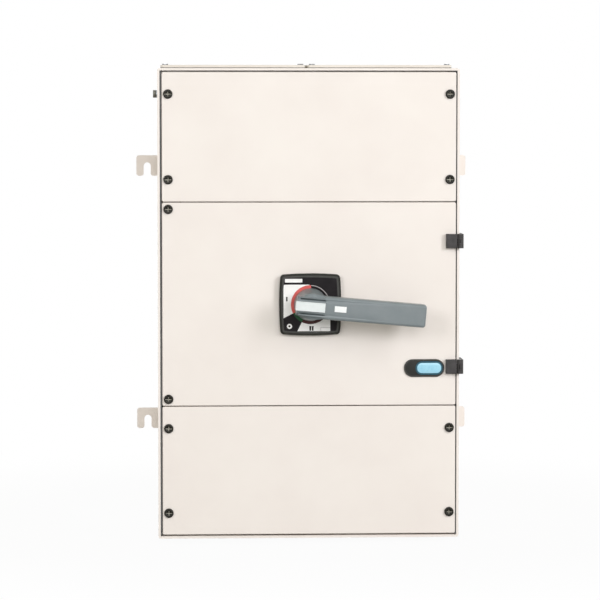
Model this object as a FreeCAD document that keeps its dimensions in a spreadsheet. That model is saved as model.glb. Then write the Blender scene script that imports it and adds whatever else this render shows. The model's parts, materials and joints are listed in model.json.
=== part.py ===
import FreeCAD, Part
import math
import os
from FreeCAD import Vector
import Sketcher

# Manual changeover switch in a wall-mounted sheet-steel enclosure.
# Frame: millimetres, X to the right, Z up, the front faces -Y. The origin is the centre of the
# back face, on the wall. A depth is a distance forward from the wall, so a depth of 220 is y = -220.

# Driving dimensions: each name is a cell of the sheet.
DIMENSIONS = {
    # steel body
    "body_width": 386,
    "body_height": 602,
    "body_depth": 220,
    "sheet": 1.6,
    "rim_width": 3,
    "rim_fold": 12,
    "body_corner": 3,
    "seat_width": 20,
    "wall_hole_radius": 4.5,
    "wall_hole_inset_x": 43,
    "wall_hole_inset_z": 41,
    # hanging lugs, welded to the back's sides, with slots that open downwards
    "lug_reach": 29,
    "lug_height": 27.6,
    "lug_thickness": 3,
    "lug_corner": 3.5,
    "lug_pitch": 341,
    "lug_rise": 2.7,
    "lug_slot_width": 9.5,
    "lug_slot_depth": 18,
    # covers and door
    "panel_side_gap": 2,
    "panel_shift": 0.5,
    "panel_end_gap": 2,
    "panel_gap": 1.2,
    "door_height": 260,
    "panel_fold": 12,
    "panel_return": 16,
    "panel_edge_radius": 1.2,
    "panel_corner": 2,
    "gasket_thickness": 3,
    "gasket_width": 16,
    # cross rails behind the panel joints
    "rail_width": 40,
    "rail_leg": 15,
    "rail_tab": 12,
    "rail_tab_height": 8,
    # panel screws and the rivet nuts that take them
    "screw_inset_x": 8,
    "screw_inset_z": 28,
    "door_screw_inset_z": 8.5,
    "screw_head_radius": 6,
    "screw_head_height": 3,
    "screw_head_round": 1.4,
    "cross_width": 1.3,
    "cross_length": 6,
    "slot_length": 8.4,
    "cross_depth": 1.6,
    "screw_shank_radius": 2.5,
    "screw_reach": 9,
    "screw_clearance": 0.7,
    "nut_bore_radius": 3.1,
    "nut_body_radius": 4.5,
    "nut_flange_radius": 6,
    "nut_flange": 1,
    "nut_length": 9,
    "gasket_hole_clearance": 0.5,
    # hinges
    "hinge_inset_z": 49.5,
    "hinge_height": 18.2,
    "hinge_radius": 4,
    "hinge_axis_out": 1,
    "hinge_axis_up": 4.8,
    "hinge_tongue": 6.2,
    "hinge_gap": 0.4,
    "hinge_pin_radius": 1.5,
    "hinge_pin_play": 0.05,
    "hinge_leaf_width": 14,
    "hinge_leaf_thickness": 7,
    "hinge_leaf_round": 1,
    "hinge_plate_back": 30,
    "hinge_slot_width": 1.8,
    "hinge_slot_height": 7.6,
    "hinge_slot_shift": 0.9,
    "hinge_slot_floor": 0.3,
    "hinge_screw_radius": 2,
    "hinge_screw_head_radius": 3.5,
    "hinge_screw_head": 2,
    "hinge_screw_reach": 3,
    "hinge_screw_pitch": 10,
    "hinge_screw_inset": 7,
    "hinge_body_screw_set_back": 24,
    # gland plates at the top and the bottom
    "gland_side_margin": 4,
    "gland_back_margin": 26,
    "gland_seam": 3,
    "gland_set_back": 70,
    "gland_plate": 3.2,
    "gland_gasket": 1.8,
    "gland_land": 13,
    "gland_corner": 4,
    "gland_screw_inset": 6,
    "gland_head_radius": 4,
    "gland_head_height": 1.5,
    "gland_shank_radius": 2,
    "gland_screw_reach": 4,
    # earth bolt on the left side
    "earth_inset_z": 32.5,
    "earth_depth": 160,
    "earth_across": 8.4,
    "earth_head": 4,
    "earth_shank_radius": 2.5,
    "earth_washer_radius": 4.9,
    "earth_washer": 1.6,
    "earth_washer_gap": 0.05,
    "earth_nut": 5,
    "earth_tail": 4,
    # mounting plate
    "plate_side_margin": 33,
    "plate_height": 240,
    "plate_thickness": 2,
    "plate_depth": 20,
    "stud_inset": 15,
    "stud_radius": 4,
    "stud_tail": 3,
    "spacer_radius": 8,
    "stud_nut_across": 13,
    "stud_nut": 6.5,
    # switch
    "pivot_x": 1.5,
    "rest_tilt": 5,
    "throw_angle": 50,
    "deck_width": 150,
    "deck_height": 130,
    "deck_pitch": 26,
    "deck_wall": 4,
    "deck_corner": 5,
    "chamber_radius": 46,
    "end_plate_height": 176,
    "end_plate": 6,
    "shaft_side": 10,
    "shaft_hole_radius": 8,
    "journal_radius": 4.9,
    "journal_play": 0.1,
    "contact_radius": 38,
    "contact_width": 16,
    "contact_thickness": 4,
    "contact_overlap": 8,
    "tab_length": 22,
    "tab_bolt_inset": 10,
    "tab_bolt_across": 10,
    "tab_bolt_head": 4,
    "tab_bolt_radius": 3,
    "tab_bolt_play": 0.05,
    "link_height": 14,
    "link_thickness": 3,
    "blade_reach": 44,
    "blade_width": 12,
    "blade_thickness": 1.5,
    "blade_gap": 0.3,
    "carrier_radius": 18,
    "carrier_length": 16,
    "tie_x": 68,
    "tie_z": 58,
    "tie_radius": 2.5,
    "tie_across": 8,
    "tie_head": 4,
    "switch_screw_x": 60,
    "switch_screw_z": 78,
    "housing_side": 110,
    "housing_depth": 24,
    "housing_corner": 8,
    "collar_radius": 11,
    "collar_length": 20,
    "collar_gap": 4,
    "extension_tip_reach": 4,
    "shaft_end_gap": 2,
    "extension_tip_chamfer": 1,
    # escutcheon of the handle, on the door
    "escutcheon_side": 75.8,
    "escutcheon_bulge_radius": 420,
    "escutcheon_depth": 9,
    "escutcheon_corner": 5,
    "escutcheon_bevel": 2.4,
    "escutcheon_seal": 1,
    "escutcheon_screw": 29,
    "escutcheon_screw_radius": 2,
    "escutcheon_screw_reach": 7,
    "legend_side": 66.6,
    "legend_thickness": 0.8,
    "legend_play": 0.2,
    "legend_hole_radius": 14,
    "drive_hole_radius": 15,
    # handle
    "drive_radius": 12,
    "drive_play": 0.1,
    "drive_sleeve_reach": 8,
    "drive_bore_clearance": 0.4,
    "drive_bore_length": 16,
    "drive_bell_length": 7,
    "drive_bell": 1.5,
    "drive_grip": 12,
    "ring_radius": 18,
    "ring_thickness": 2,
    "ring_gap": 0.3,
    "handle_gap": 0.4,
    "hub_foot_radius": 21,
    "hub_top_radius": 16.5,
    "hub_height": 47,
    "hub_round": 4,
    "hub_dome_drop": 6,
    "spine_reach": 19.4,
    "spine_width": 24,
    "arm_reach": 144.9,
    "arm_width": 29,
    "arm_thickness": 20,
    "arm_root": 17,
    "arm_corner": 3.6,
    "arm_edge": 3.4,
    "arm_wall": 2.6,
    "arm_web": 3,
    "arm_rib": 2,
    "arm_rib_count": 4,
    "padlock_slot": 12.2,
    "padlock_width": 11.6,
    "padlock_slot_end": 17,
    "padlock_reach": 20.3,
    "padlock_slot_lead": 1,
    "padlock_depth": 20,
    "padlock_eye_radius": 3.6,
    "padlock_eye_x": 9,
    "padlock_eye_depth": 14.2,
    "slit_width": 1.6,
    "slit_depth": 5,
    "slit_offset": 9.2,
    "slit_length": 32,
    "label_width": 15,
    "label_height": 7.4,
    "label_thickness": 0.4,
    "label_x": 36,
    # badge on the door
    "badge_inset_x": 40.5,
    "badge_inset_z": 47.5,
    "badge_width": 51.5,
    "badge_height": 22.7,
    "badge_thickness": 1.5,
    "badge_edge": 0.5,
    "inset_width": 30.8,
    "inset_height": 13,
    "inset_thickness": 0.4,
    "inset_shift": 6.5,
}


class Size:
    """A length or an angle that knows both its number and the sheet formula that gives it."""

    def __init__(self, number, formula):
        self.number = float(number)
        self.formula = formula

    def __add__(self, other):
        return Size(self.number + number(other), f"({self.formula} + {formula(other)})")

    def __radd__(self, other):
        return Size(number(other) + self.number, f"({formula(other)} + {self.formula})")

    def __sub__(self, other):
        return Size(self.number - number(other), f"({self.formula} - {formula(other)})")

    def __rsub__(self, other):
        return Size(number(other) - self.number, f"({formula(other)} - {self.formula})")

    def __mul__(self, other):
        return Size(self.number * number(other), f"({self.formula} * {formula(other)})")

    def __rmul__(self, other):
        return Size(number(other) * self.number, f"({formula(other)} * {self.formula})")

    def __truediv__(self, other):
        return Size(self.number / number(other), f"({self.formula} / {formula(other)})")

    def __neg__(self):
        return Size(-self.number, f"(0 - {self.formula})")


def number(value):
    """The plain number of a size."""
    return value.number if isinstance(value, Size) else float(value)


def formula(value):
    """The formula of a size."""
    return value.formula if isinstance(value, Size) else repr(float(value))


def cosine(angle):
    """The cosine of an angle in degrees."""
    return Size(math.cos(math.radians(number(angle))), f"cos({formula(angle)})")


def sine(angle):
    """The sine of an angle in degrees."""
    return Size(math.sin(math.radians(number(angle))), f"sin({formula(angle)})")


def turned(across, up, angle):
    """A point turned about the origin, anticlockwise as seen from the front."""
    return (across * cosine(angle) - up * sine(angle), across * sine(angle) + up * cosine(angle))


class Sizes:
    """The sheet of driving dimensions, read by name."""

    def __init__(self, doc):
        self.table = doc.addObject("Spreadsheet::Sheet", "Sizes")
        for row, (alias, value) in enumerate(DIMENSIONS.items(), start=1):
            self.table.set(f"A{row}", alias)
            self.table.set(f"B{row}", str(value))
            self.table.setAlias(f"B{row}", alias)
        doc.recompute()

    def __getattr__(self, alias):
        return Size(DIMENSIONS[alias], f"Sizes.{alias}")


def bind(thing, path, value):
    """Tie one property of an object to its formula."""
    thing.setExpression(path, formula(value))


def copies(count):
    """The numbers of a row of copies, from nought."""
    return range(int(count))


# Outlines: lists of corners, anticlockwise. A third entry is the radius of the arc to the next corner.

def box_outline(left, right, low, high):
    """A plain box."""
    return [(left, low), (right, low), (right, high), (left, high)]


def round_outline(left, right, low, high, radius):
    """A box with rounded corners."""
    return [
        (left + radius, low), (right - radius, low, radius),
        (right, low + radius), (right, high - radius, radius),
        (right - radius, high), (left + radius, high, radius),
        (left, high - radius), (left, low + radius, radius),
    ]


def pillow_outline(x, z, side, bulge_radius):
    """A square whose four sides bulge as shallow arcs."""
    half = side / 2
    return [
        (x - half, z - half, bulge_radius), (x + half, z - half, bulge_radius),
        (x + half, z + half, bulge_radius), (x - half, z + half, bulge_radius),
    ]


def hexagon_outline(x, z, across):
    """A hexagon with two flats upright, from its size across the flats."""
    half = across / 2
    point = across / math.sqrt(3)
    return [
        (x + half, z - point / 2), (x + half, z + point / 2), (x, z + point),
        (x - half, z + point / 2), (x - half, z - point / 2), (x, z - point),
    ]


def turned_box(x, z, left, right, low, high, angle):
    """A rectangle about a centre, turned by an angle."""
    corners = [(left, low), (right, low), (right, high), (left, high)]
    spots = [turned(across, up, angle) for across, up in corners]
    return [(x + across, z + up) for across, up in spots]


class Disc:
    """A circle given by its centre and radius."""

    def __init__(self, x, z, radius):
        self.x = x
        self.z = z
        self.radius = radius


def tie_point(sketch, shape, vertex, spot):
    """Place one point of a sketch by its two formulas."""
    for kind, value in (("DistanceX", spot[0]), ("DistanceY", spot[1])):
        index = sketch.addConstraint(Sketcher.Constraint(kind, -1, 1, shape, vertex, number(value)))
        bind(sketch, f"Constraints[{index}]", value)


def tie_radius(sketch, shape, radius):
    """Set the radius of a circle or an arc by its formula."""
    index = sketch.addConstraint(Sketcher.Constraint("Radius", shape, number(radius)))
    bind(sketch, f"Constraints[{index}]", radius)


def arc_between(start, end, radius):
    """A shallow arc that bulges to the right of the way from start to end."""
    chord = end - start
    rise = math.sqrt(max(radius ** 2 - chord.Length ** 2 / 4, 0))
    left = Vector(-chord.y, chord.x, 0).normalize()
    centre = (start + end) / 2 + left * rise
    first = math.atan2(start.y - centre.y, start.x - centre.x)
    last = math.atan2(end.y - centre.y, end.x - centre.x)
    return Part.ArcOfCircle(Part.Circle(centre, Vector(0, 0, 1), radius), first, last)


def draw_corners(sketch, corners):
    """Draw a closed outline of straight and round edges."""
    spots = [Vector(number(corner[0]), number(corner[1]), 0) for corner in corners]
    shapes = []
    for index, corner in enumerate(corners):
        start = spots[index]
        end = spots[(index + 1) % len(spots)]
        if len(corner) == 3:
            edge = arc_between(start, end, number(corner[2]))
        else:
            edge = Part.LineSegment(start, end)
        shapes.append(sketch.addGeometry(edge, False))
    for index, corner in enumerate(corners):
        following = shapes[(index + 1) % len(shapes)]
        sketch.addConstraint(Sketcher.Constraint("Coincident", shapes[index], 2, following, 1))
        tie_point(sketch, shapes[index], 1, corner)
        if len(corner) == 3:
            tie_radius(sketch, shapes[index], corner[2])


def draw_disc(sketch, disc):
    """Draw a circle."""
    circle = Part.Circle(Vector(number(disc.x), number(disc.z), 0), Vector(0, 0, 1), number(disc.radius))
    shape = sketch.addGeometry(circle, False)
    tie_point(sketch, shape, 3, (disc.x, disc.z))
    tie_radius(sketch, shape, disc.radius)


PLANES = {"front": "XZ_Plane", "top": "XY_Plane", "side": "YZ_Plane"}


def draw(body, name, plane, level, outlines):
    """A sketch on one of the body's own planes: a front level is a depth, a top level a height."""
    sketch = body.newObject("Sketcher::SketchObject", name)
    support = [feature for feature in body.Origin.OriginFeatures if feature.Role == PLANES[plane]]
    sketch.AttachmentSupport = [(support[0], "")]
    sketch.MapMode = "FlatFace"
    bind(sketch, ".AttachmentOffset.Base.z", level)
    for outline in outlines:
        if isinstance(outline, Disc):
            draw_disc(sketch, outline)
        else:
            draw_corners(sketch, outline)
    return sketch


def new_body(doc, label):
    body = doc.addObject("PartDesign::Body", label)
    body.Label = label
    body.AllowCompound = True
    return body


def grow(body, name, plane, outlines, low, high):
    """Add the area of the outlines from one level up to another."""
    pad = body.newObject("PartDesign::Pad", name)
    pad.Profile = draw(body, f"{name}Outline", plane, low, outlines)
    bind(pad, "Length", high - low)
    return pad


def cut(body, name, plane, outlines, low, high):
    """Take the area of the outlines away between two levels."""
    pocket = body.newObject("PartDesign::Pocket", name)
    pocket.Profile = draw(body, f"{name}Outline", plane, high, outlines)
    bind(pocket, "Length", high - low)
    return pocket


def edges_of(body, wanted):
    """The names of the edges that a test picks from the body as it stands."""
    body.Document.recompute()
    shape = body.Tip.Shape
    return [f"Edge{index}" for index, edge in enumerate(shape.Edges, start=1) if wanted(edge)]


def round_edges(body, name, radius, wanted, kind="Fillet"):
    """Round or bevel the edges that a test picks."""
    names = edges_of(body, wanted)
    base = body.Tip
    feature = body.newObject(f"PartDesign::{kind}", name)
    feature.Base = (base, names)
    bind(feature, "Radius" if kind == "Fillet" else "Size", radius)
    return feature


NEAR = 0.01


def lies_at_depth(edge, depth):
    """Whether an edge lies wholly at one depth from the wall."""
    box = edge.BoundBox
    return abs(box.YMin + number(depth)) < NEAR and abs(box.YMax + number(depth)) < NEAR


def upright_corner(edge, beyond, level):
    """Whether an edge runs from back to front at one height, farther out than a given distance."""
    box = edge.BoundBox
    straight = box.XLength < NEAR and box.ZLength < NEAR
    return straight and abs(box.XMin) > beyond and abs(box.ZMin - level) < NEAR


def runs_forward(edge, x_reach, z_reach):
    """Whether an edge runs from back to front, out at the given reaches from the origin."""
    box = edge.BoundBox
    straight = box.XLength < NEAR and box.ZLength < NEAR
    return straight and abs(box.XMin) > number(x_reach) and abs(box.ZMin) > number(z_reach)


def seat(body, x, z):
    """Place a body that is modelled about its own axis."""
    bind(body, ".Placement.Base.x", x)
    bind(body, ".Placement.Base.z", z)


# Levels and edges that several pieces share.

class Layout:
    """Places worked out from the driving dimensions."""

    def __init__(self, s):
        self.front = s.body_depth
        self.panel_back = s.body_depth - s.panel_fold
        self.seat_front = self.panel_back - s.gasket_thickness
        self.seat_back = self.seat_front - s.sheet
        self.half_width = s.body_width / 2
        self.half_height = s.body_height / 2
        self.opening_x = self.half_width - s.rim_width
        self.opening_z = self.half_height - s.rim_width
        self.inner_x = self.half_width - s.sheet
        self.inner_z = self.half_height - s.sheet
        self.seat_x = self.inner_x - s.seat_width
        self.seat_z = self.inner_z - s.seat_width
        self.panel_left = s.panel_side_gap + s.panel_shift - self.opening_x
        self.panel_right = self.opening_x - s.panel_side_gap + s.panel_shift
        self.cover_low = s.door_height / 2 + s.panel_gap
        self.cover_high = self.opening_z - s.panel_end_gap
        self.rail_z = (s.door_height + s.panel_gap) / 2
        self.screw_left = self.panel_left + s.screw_inset_x
        self.screw_right = self.panel_right - s.screw_inset_x
        self.door_screw_z = s.door_height / 2 - s.door_screw_inset_z
        self.screw_hole = s.screw_shank_radius + s.screw_clearance
        self.gasket_hole = s.nut_flange_radius + s.gasket_hole_clearance
        self.hinge_x = self.half_width + s.hinge_axis_out
        self.hinge_depth = self.front + s.hinge_axis_up
        self.hinge_leaf_right = self.hinge_x - s.hinge_radius - s.hinge_gap
        self.hinge_leaf_left = self.hinge_leaf_right - s.hinge_leaf_width
        self.gland_front = self.front - s.gland_set_back
        self.gland_back = s.gland_back_margin
        self.wall_hole_x = self.half_width - s.wall_hole_inset_x
        self.wall_hole_z = self.half_height - s.wall_hole_inset_z
        self.lug_bottoms = [s.lug_rise + s.lug_pitch / 2 * side - s.lug_height / 2 for side in (1, -1)]
        self.lug_slot_x = self.half_width + s.lug_reach / 2
        self.earth_z = self.half_height - s.earth_inset_z
        self.hinge_z = s.door_height / 2 - s.hinge_inset_z
        self.badge_x = self.panel_right - s.badge_inset_x
        self.badge_z = s.badge_inset_z - s.door_height / 2
        self.plate_x = self.half_width - s.plate_side_margin
        self.plate_z = s.plate_height / 2
        self.stud_x = self.plate_x - s.stud_inset
        self.stud_z = self.plate_z - s.stud_inset
        self.plate_front = s.plate_depth + s.plate_thickness
        self.deck_back = self.plate_front + s.end_plate
        self.decks_front = self.deck_back + s.deck_pitch * DECK_COUNT
        self.housing_back = self.decks_front + s.end_plate
        self.housing_front = self.housing_back + s.housing_depth
        self.collar_back = self.housing_front + s.collar_gap
        self.collar_front = self.collar_back + s.collar_length
        self.shaft_end = self.collar_back + s.collar_length / 2 - s.shaft_end_gap / 2
        self.extension_back = self.shaft_end + s.shaft_end_gap
        self.extension_tip = self.panel_back + s.extension_tip_reach
        self.drive_mouth = self.panel_back - s.drive_sleeve_reach
        self.escutcheon_back = self.front + s.escutcheon_seal
        self.escutcheon_front = self.escutcheon_back + s.escutcheon_depth
        self.hub_back = self.escutcheon_front + s.handle_gap
        self.hub_front = self.hub_back + s.hub_height
        self.arm_back = self.hub_front - s.arm_thickness

    def cover_screw_spots(self, s, side):
        """The four screws of a cover: side is 1 for the top cover and -1 for the bottom one."""
        heights = (self.cover_low + s.screw_inset_z, self.cover_high - s.screw_inset_z)
        return [(x, z * side) for x in (self.screw_left, self.screw_right) for z in heights]

    def door_screw_spots(self):
        """The two screws of the door, on its left side."""
        return [(self.screw_left, self.door_screw_z), (self.screw_left, -self.door_screw_z)]

    def gland_spans(self, s):
        """Left and right edges of the two gland plates of one end."""
        inner = s.gland_seam / 2
        outer = self.half_width - s.gland_side_margin
        return {"left": (-outer, -inner), "right": (inner, outer)}

    def gland_screw_spots(self, s, span):
        """The four screws of one gland plate, seen from above."""
        left, right = span
        depths = (self.gland_back + s.gland_screw_inset, self.gland_front - s.gland_screw_inset)
        return [(x, -depth) for x in (left + s.gland_screw_inset, right - s.gland_screw_inset)
                for depth in depths]

    def deck_middle(self, s, index):
        """Depth of the contacts of one pole deck."""
        return self.deck_back + s.deck_pitch * index + (s.deck_pitch + s.deck_wall) / 2


DECK_COUNT = 4
SIDES = {"top": 1, "bottom": -1}
FOUR_CORNERS = ((-1, -1), (1, -1), (1, 1), (-1, 1))


def four_spots(x, z):
    """The four corners of a rectangle about the middle."""
    return [(x * across, z * up) for across, up in FOUR_CORNERS]


def discs(spots, radius):
    """A circle at each spot."""
    return [Disc(x, z, radius) for x, z in spots]


# Steel body

def make_enclosure_body(doc, s, at):
    """The folded box: walls, back, front rim, seat flange and the welded studs for the mounting plate."""
    body = new_body(doc, "enclosure_body")
    inner = box_outline(-at.inner_x, at.inner_x, -at.inner_z, at.inner_z)
    mouth = box_outline(-at.opening_x, at.opening_x, -at.opening_z, at.opening_z)
    seat_mouth = box_outline(-at.seat_x, at.seat_x, -at.seat_z, at.seat_z)
    outer = box_outline(-at.half_width, at.half_width, -at.half_height, at.half_height)
    grow(body, "Block", "front", [outer], 0, at.front)
    cut(body, "Inside", "front", [inner], s.sheet, at.front)
    grow(body, "Rim", "front", [inner, mouth], at.front - s.rim_fold, at.front)
    grow(body, "Seat", "front", [inner, seat_mouth], at.seat_back, at.seat_front)
    round_edges(body, "Corners", s.body_corner,
                lambda edge: runs_forward(edge, at.half_width - NEAR, at.half_height - NEAR))
    holes = discs(four_spots(at.wall_hole_x, at.wall_hole_z), s.wall_hole_radius)
    cut(body, "WallHoles", "front", holes, 0, s.sheet)
    add_hanging_lugs(body, s, at)
    studs = discs(four_spots(at.stud_x, at.stud_z), s.stud_radius)
    grow(body, "WeldedStuds", "front", studs, s.sheet, at.plate_front + s.stud_nut + s.stud_tail)
    windows = []
    screws = []
    for left, right in at.gland_spans(s).values():
        windows.append(box_outline(left + s.gland_land, right - s.gland_land,
                                   s.gland_land - at.gland_front, -at.gland_back - s.gland_land))
        screws += discs(at.gland_screw_spots(s, (left, right)), s.gland_shank_radius)
    cut(body, "GlandWindows", "top", windows + screws, -at.half_height, at.half_height)
    nuts = at.door_screw_spots() + all_cover_screw_spots(s, at)
    cut(body, "RivetNutHoles", "front", discs(nuts, s.nut_body_radius), at.seat_back, at.seat_front)
    earth = [Disc(-s.earth_depth, at.earth_z, s.earth_shank_radius)]
    cut(body, "EarthHole", "side", earth, -at.half_width, -at.inner_x)
    hinges = discs(hinge_body_screw_spots(s, at), s.hinge_screw_radius)
    cut(body, "HingeHoles", "side", hinges, at.inner_x, at.half_width)
    return body


def slot_outline(x, low, width, depth):
    """An upright slot with a round top, from its mouth at the bottom."""
    half = width / 2
    high = low + depth - half
    return [(x - half, low), (x + half, low), (x + half, high, half), (x, high + half, half), (x - half, high)]


def add_hanging_lugs(body, s, at):
    """Four ears in the plane of the back, each with a slot that drops over a wall screw."""
    tips = at.half_width + s.lug_reach
    spans = {"Left": (-tips, -at.inner_x, -at.lug_slot_x), "Right": (at.inner_x, tips, at.lug_slot_x)}
    for name, (left, right, middle) in spans.items():
        ears = [box_outline(left, right, low, low + s.lug_height) for low in at.lug_bottoms]
        slots = [slot_outline(middle, low, s.lug_slot_width, s.lug_slot_depth) for low in at.lug_bottoms]
        grow(body, f"{name}Lugs", "front", ears, 0, s.lug_thickness)
        cut(body, f"{name}LugSlots", "front", slots, 0, s.lug_thickness)
    levels = [number(low + rise) for low in at.lug_bottoms for rise in (0, s.lug_height)]
    beyond = number(at.half_width) + NEAR
    round_edges(body, "LugCorners", s.lug_corner,
                lambda edge: any(upright_corner(edge, beyond, level) for level in levels))


def make_cross_rail(doc, s, at, end, side):
    """A channel across the opening, behind the joint between the door and a cover."""
    body = new_body(doc, f"{end}_cross_rail")
    low = at.rail_z * side - s.rail_width / 2
    high = at.rail_z * side + s.rail_width / 2
    back = s.rail_leg - at.seat_front
    channel = [
        (-at.seat_front, low), (back, low), (back, low + s.sheet), (-at.seat_back, low + s.sheet),
        (-at.seat_back, high - s.sheet), (back, high - s.sheet), (back, high), (-at.seat_front, high),
    ]
    grow(body, "Channel", "side", [channel], -at.seat_x, at.seat_x)
    middle = at.rail_z * side
    tabs = []
    for across in (-1, 1):
        ends = sorted((at.seat_x * across - s.rail_tab, at.seat_x * across + s.rail_tab), key=number)
        tabs.append(box_outline(ends[0], ends[1], middle - s.rail_tab_height / 2,
                                middle + s.rail_tab_height / 2))
    grow(body, "WeldTabs", "front", tabs, at.seat_back - s.sheet, at.seat_back)
    return body


def make_tray(doc, s, at, label, low, high, screws):
    """A folded panel: front sheet, side walls and a return flange that carries the gasket."""
    body = new_body(doc, label)
    outer = box_outline(at.panel_left, at.panel_right, low, high)
    inner = box_outline(at.panel_left + s.sheet, at.panel_right - s.sheet, low + s.sheet, high - s.sheet)
    window = box_outline(at.panel_left + s.panel_return, at.panel_right - s.panel_return,
                         low + s.panel_return, high - s.panel_return)
    grow(body, "FrontSheet", "front", [outer], at.front - s.sheet, at.front)
    grow(body, "Walls", "front", [outer, inner], at.panel_back, at.front - s.sheet)
    grow(body, "ReturnFlange", "front", [outer, window], at.panel_back, at.panel_back + s.sheet)
    lowest = min(abs(number(low)), abs(number(high)))
    round_edges(body, "Corners", s.panel_corner,
                lambda edge: runs_forward(edge, -at.panel_left - NEAR, lowest - NEAR))
    round_edges(body, "FoldedEdges", s.panel_edge_radius, lambda edge: lies_at_depth(edge, at.front))
    cut(body, "ScrewHoles", "front", discs(screws, at.screw_hole), at.panel_back, at.front)
    return body


def make_door(doc, s, at):
    """The middle panel, with the holes for the handle, its escutcheon and the hinges."""
    half = s.door_height / 2
    body = make_tray(doc, s, at, "door", -half, half, at.door_screw_spots())
    cut(body, "DriveHole", "front", [Disc(s.pivot_x, 0, s.drive_hole_radius)],
        at.front - s.sheet, at.front)
    fixings = [(s.pivot_x + x, z) for x, z in four_spots(s.escutcheon_screw, s.escutcheon_screw)]
    fixings += hinge_door_screw_spots(s, at)
    cut(body, "FixingHoles", "front", discs(fixings, s.escutcheon_screw_radius),
        at.front - s.sheet, at.front)
    return body


def make_gasket(doc, s, at, label, low, high, screws):
    """A foam frame between a panel and the seat."""
    body = new_body(doc, label)
    outer = box_outline(at.panel_left, at.panel_right, low, high)
    inner = box_outline(at.panel_left + s.gasket_width, at.panel_right - s.gasket_width,
                        low + s.gasket_width, high - s.gasket_width)
    grow(body, "Frame", "front", [outer, inner], at.seat_front, at.panel_back)
    cut(body, "ScrewHoles", "front", discs(screws, at.gasket_hole), at.seat_front, at.panel_back)
    return body


def make_panel_screws(doc, s, at, label, spots):
    """Pan-head screws: the heads on the panel, the shanks through to the rivet nuts."""
    body = new_body(doc, label)
    face = at.front + s.screw_head_height
    tip = at.seat_front - s.screw_reach
    grow(body, "Heads", "front", discs(spots, s.screw_head_radius), at.front, face)
    grow(body, "Shanks", "front", discs(spots, s.screw_shank_radius), tip, at.front)
    round_edges(body, "HeadRound", s.screw_head_round, lambda edge: lies_at_depth(edge, face))
    half = s.cross_width / 2
    reach = s.slot_length / 2
    across = [box_outline(x - reach, x + reach, z - half, z + half) for x, z in spots]
    reach = s.cross_length / 2
    upright = [box_outline(x - half, x + half, z - reach, z + reach) for x, z in spots]
    cut(body, "DriverSlot", "front", across, face - s.cross_depth, face)
    cut(body, "DriverCross", "front", upright, face - s.cross_depth, face)
    return body


def all_cover_screw_spots(s, at):
    """The eight screws of both covers."""
    return at.cover_screw_spots(s, 1) + at.cover_screw_spots(s, -1)


def make_rivet_nuts(doc, s, at):
    """The blind nuts in the seat that take the panel screws."""
    body = new_body(doc, "rivet_nuts")
    spots = at.door_screw_spots() + all_cover_screw_spots(s, at)
    barrels = discs(spots, s.nut_body_radius)
    flanges = discs(spots, s.nut_flange_radius)
    bores = discs(spots, s.nut_bore_radius)
    grow(body, "Barrels", "front", barrels + bores, at.seat_front - s.nut_length, at.seat_front)
    grow(body, "Flanges", "front", flanges + bores, at.seat_front, at.seat_front + s.nut_flange)
    return body


# Gland plates

def make_gland_plate(doc, s, at, hand, label, low, high):
    """One plate: a rounded sheet with a screw hole near each corner."""
    left, right = at.gland_spans(s)[hand]
    body = new_body(doc, label)
    sheet = round_outline(left, right, -at.gland_front, -at.gland_back, s.gland_corner)
    holes = discs(at.gland_screw_spots(s, (left, right)), s.gland_shank_radius)
    grow(body, "Sheet", "top", [sheet] + holes, low, high)
    return body


def make_gland_gaskets(doc, s, at):
    """The soft frames under the gland plates, two at either end."""
    body = new_body(doc, "gland_gaskets")
    outlines = []
    for left, right in at.gland_spans(s).values():
        outlines.append(round_outline(left, right, -at.gland_front, -at.gland_back, s.gland_corner))
        outlines.append(box_outline(left + s.gland_land, right - s.gland_land,
                                    s.gland_land - at.gland_front, -at.gland_back - s.gland_land))
        outlines += discs(at.gland_screw_spots(s, (left, right)), s.gland_shank_radius)
    for end in SIDES:
        low, high = gland_levels(at, end, 0, s.gland_gasket)
        grow(body, f"{end.title()}Frames", "top", outlines, low, high)
    return body


def gland_levels(at, end, inner, outer):
    """Low and high levels of a layer outside the body's top or bottom."""
    if end == "top":
        return at.half_height + inner, at.half_height + outer
    return -at.half_height - outer, -at.half_height - inner


def make_gland_screws(doc, s, at):
    """Low pan-head screws, four to a plate."""
    body = new_body(doc, "gland_screws")
    spots = []
    for span in at.gland_spans(s).values():
        spots += at.gland_screw_spots(s, span)
    face = s.gland_gasket + s.gland_plate
    for end in SIDES:
        low, high = gland_levels(at, end, face, face + s.gland_head_height)
        grow(body, f"{end.title()}Heads", "top", discs(spots, s.gland_head_radius), low, high)
        low, high = gland_levels(at, end, -s.gland_screw_reach, face)
        grow(body, f"{end.title()}Shanks", "top", discs(spots, s.gland_shank_radius), low, high)
    return body


# Earth terminal

def make_earth_parts(doc, s, at):
    """The bolt through the left wall, its washers and its nut."""
    spot = (-s.earth_depth, at.earth_z)
    outside = -at.half_width - s.earth_washer
    inside = -at.inner_x + s.earth_washer
    bolt = new_body(doc, "earth_bolt")
    grow(bolt, "Head", "side", [hexagon_outline(*spot, s.earth_across)], outside - s.earth_head, outside)
    grow(bolt, "Shank", "side", [Disc(*spot, s.earth_shank_radius)], outside,
         inside + s.earth_nut + s.earth_tail)
    hardware = new_body(doc, "earth_nut_and_washers")
    ring = [Disc(*spot, s.earth_washer_radius), Disc(*spot, s.earth_shank_radius)]
    grow(hardware, "OuterWasher", "side", ring, outside, -at.half_width)
    grow(hardware, "InnerWasher", "side", ring, -at.inner_x, inside - s.earth_washer_gap)
    nut = [hexagon_outline(*spot, s.earth_across), Disc(*spot, s.earth_shank_radius)]
    grow(hardware, "Nut", "side", nut, inside, inside + s.earth_nut)


# Hinges

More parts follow.
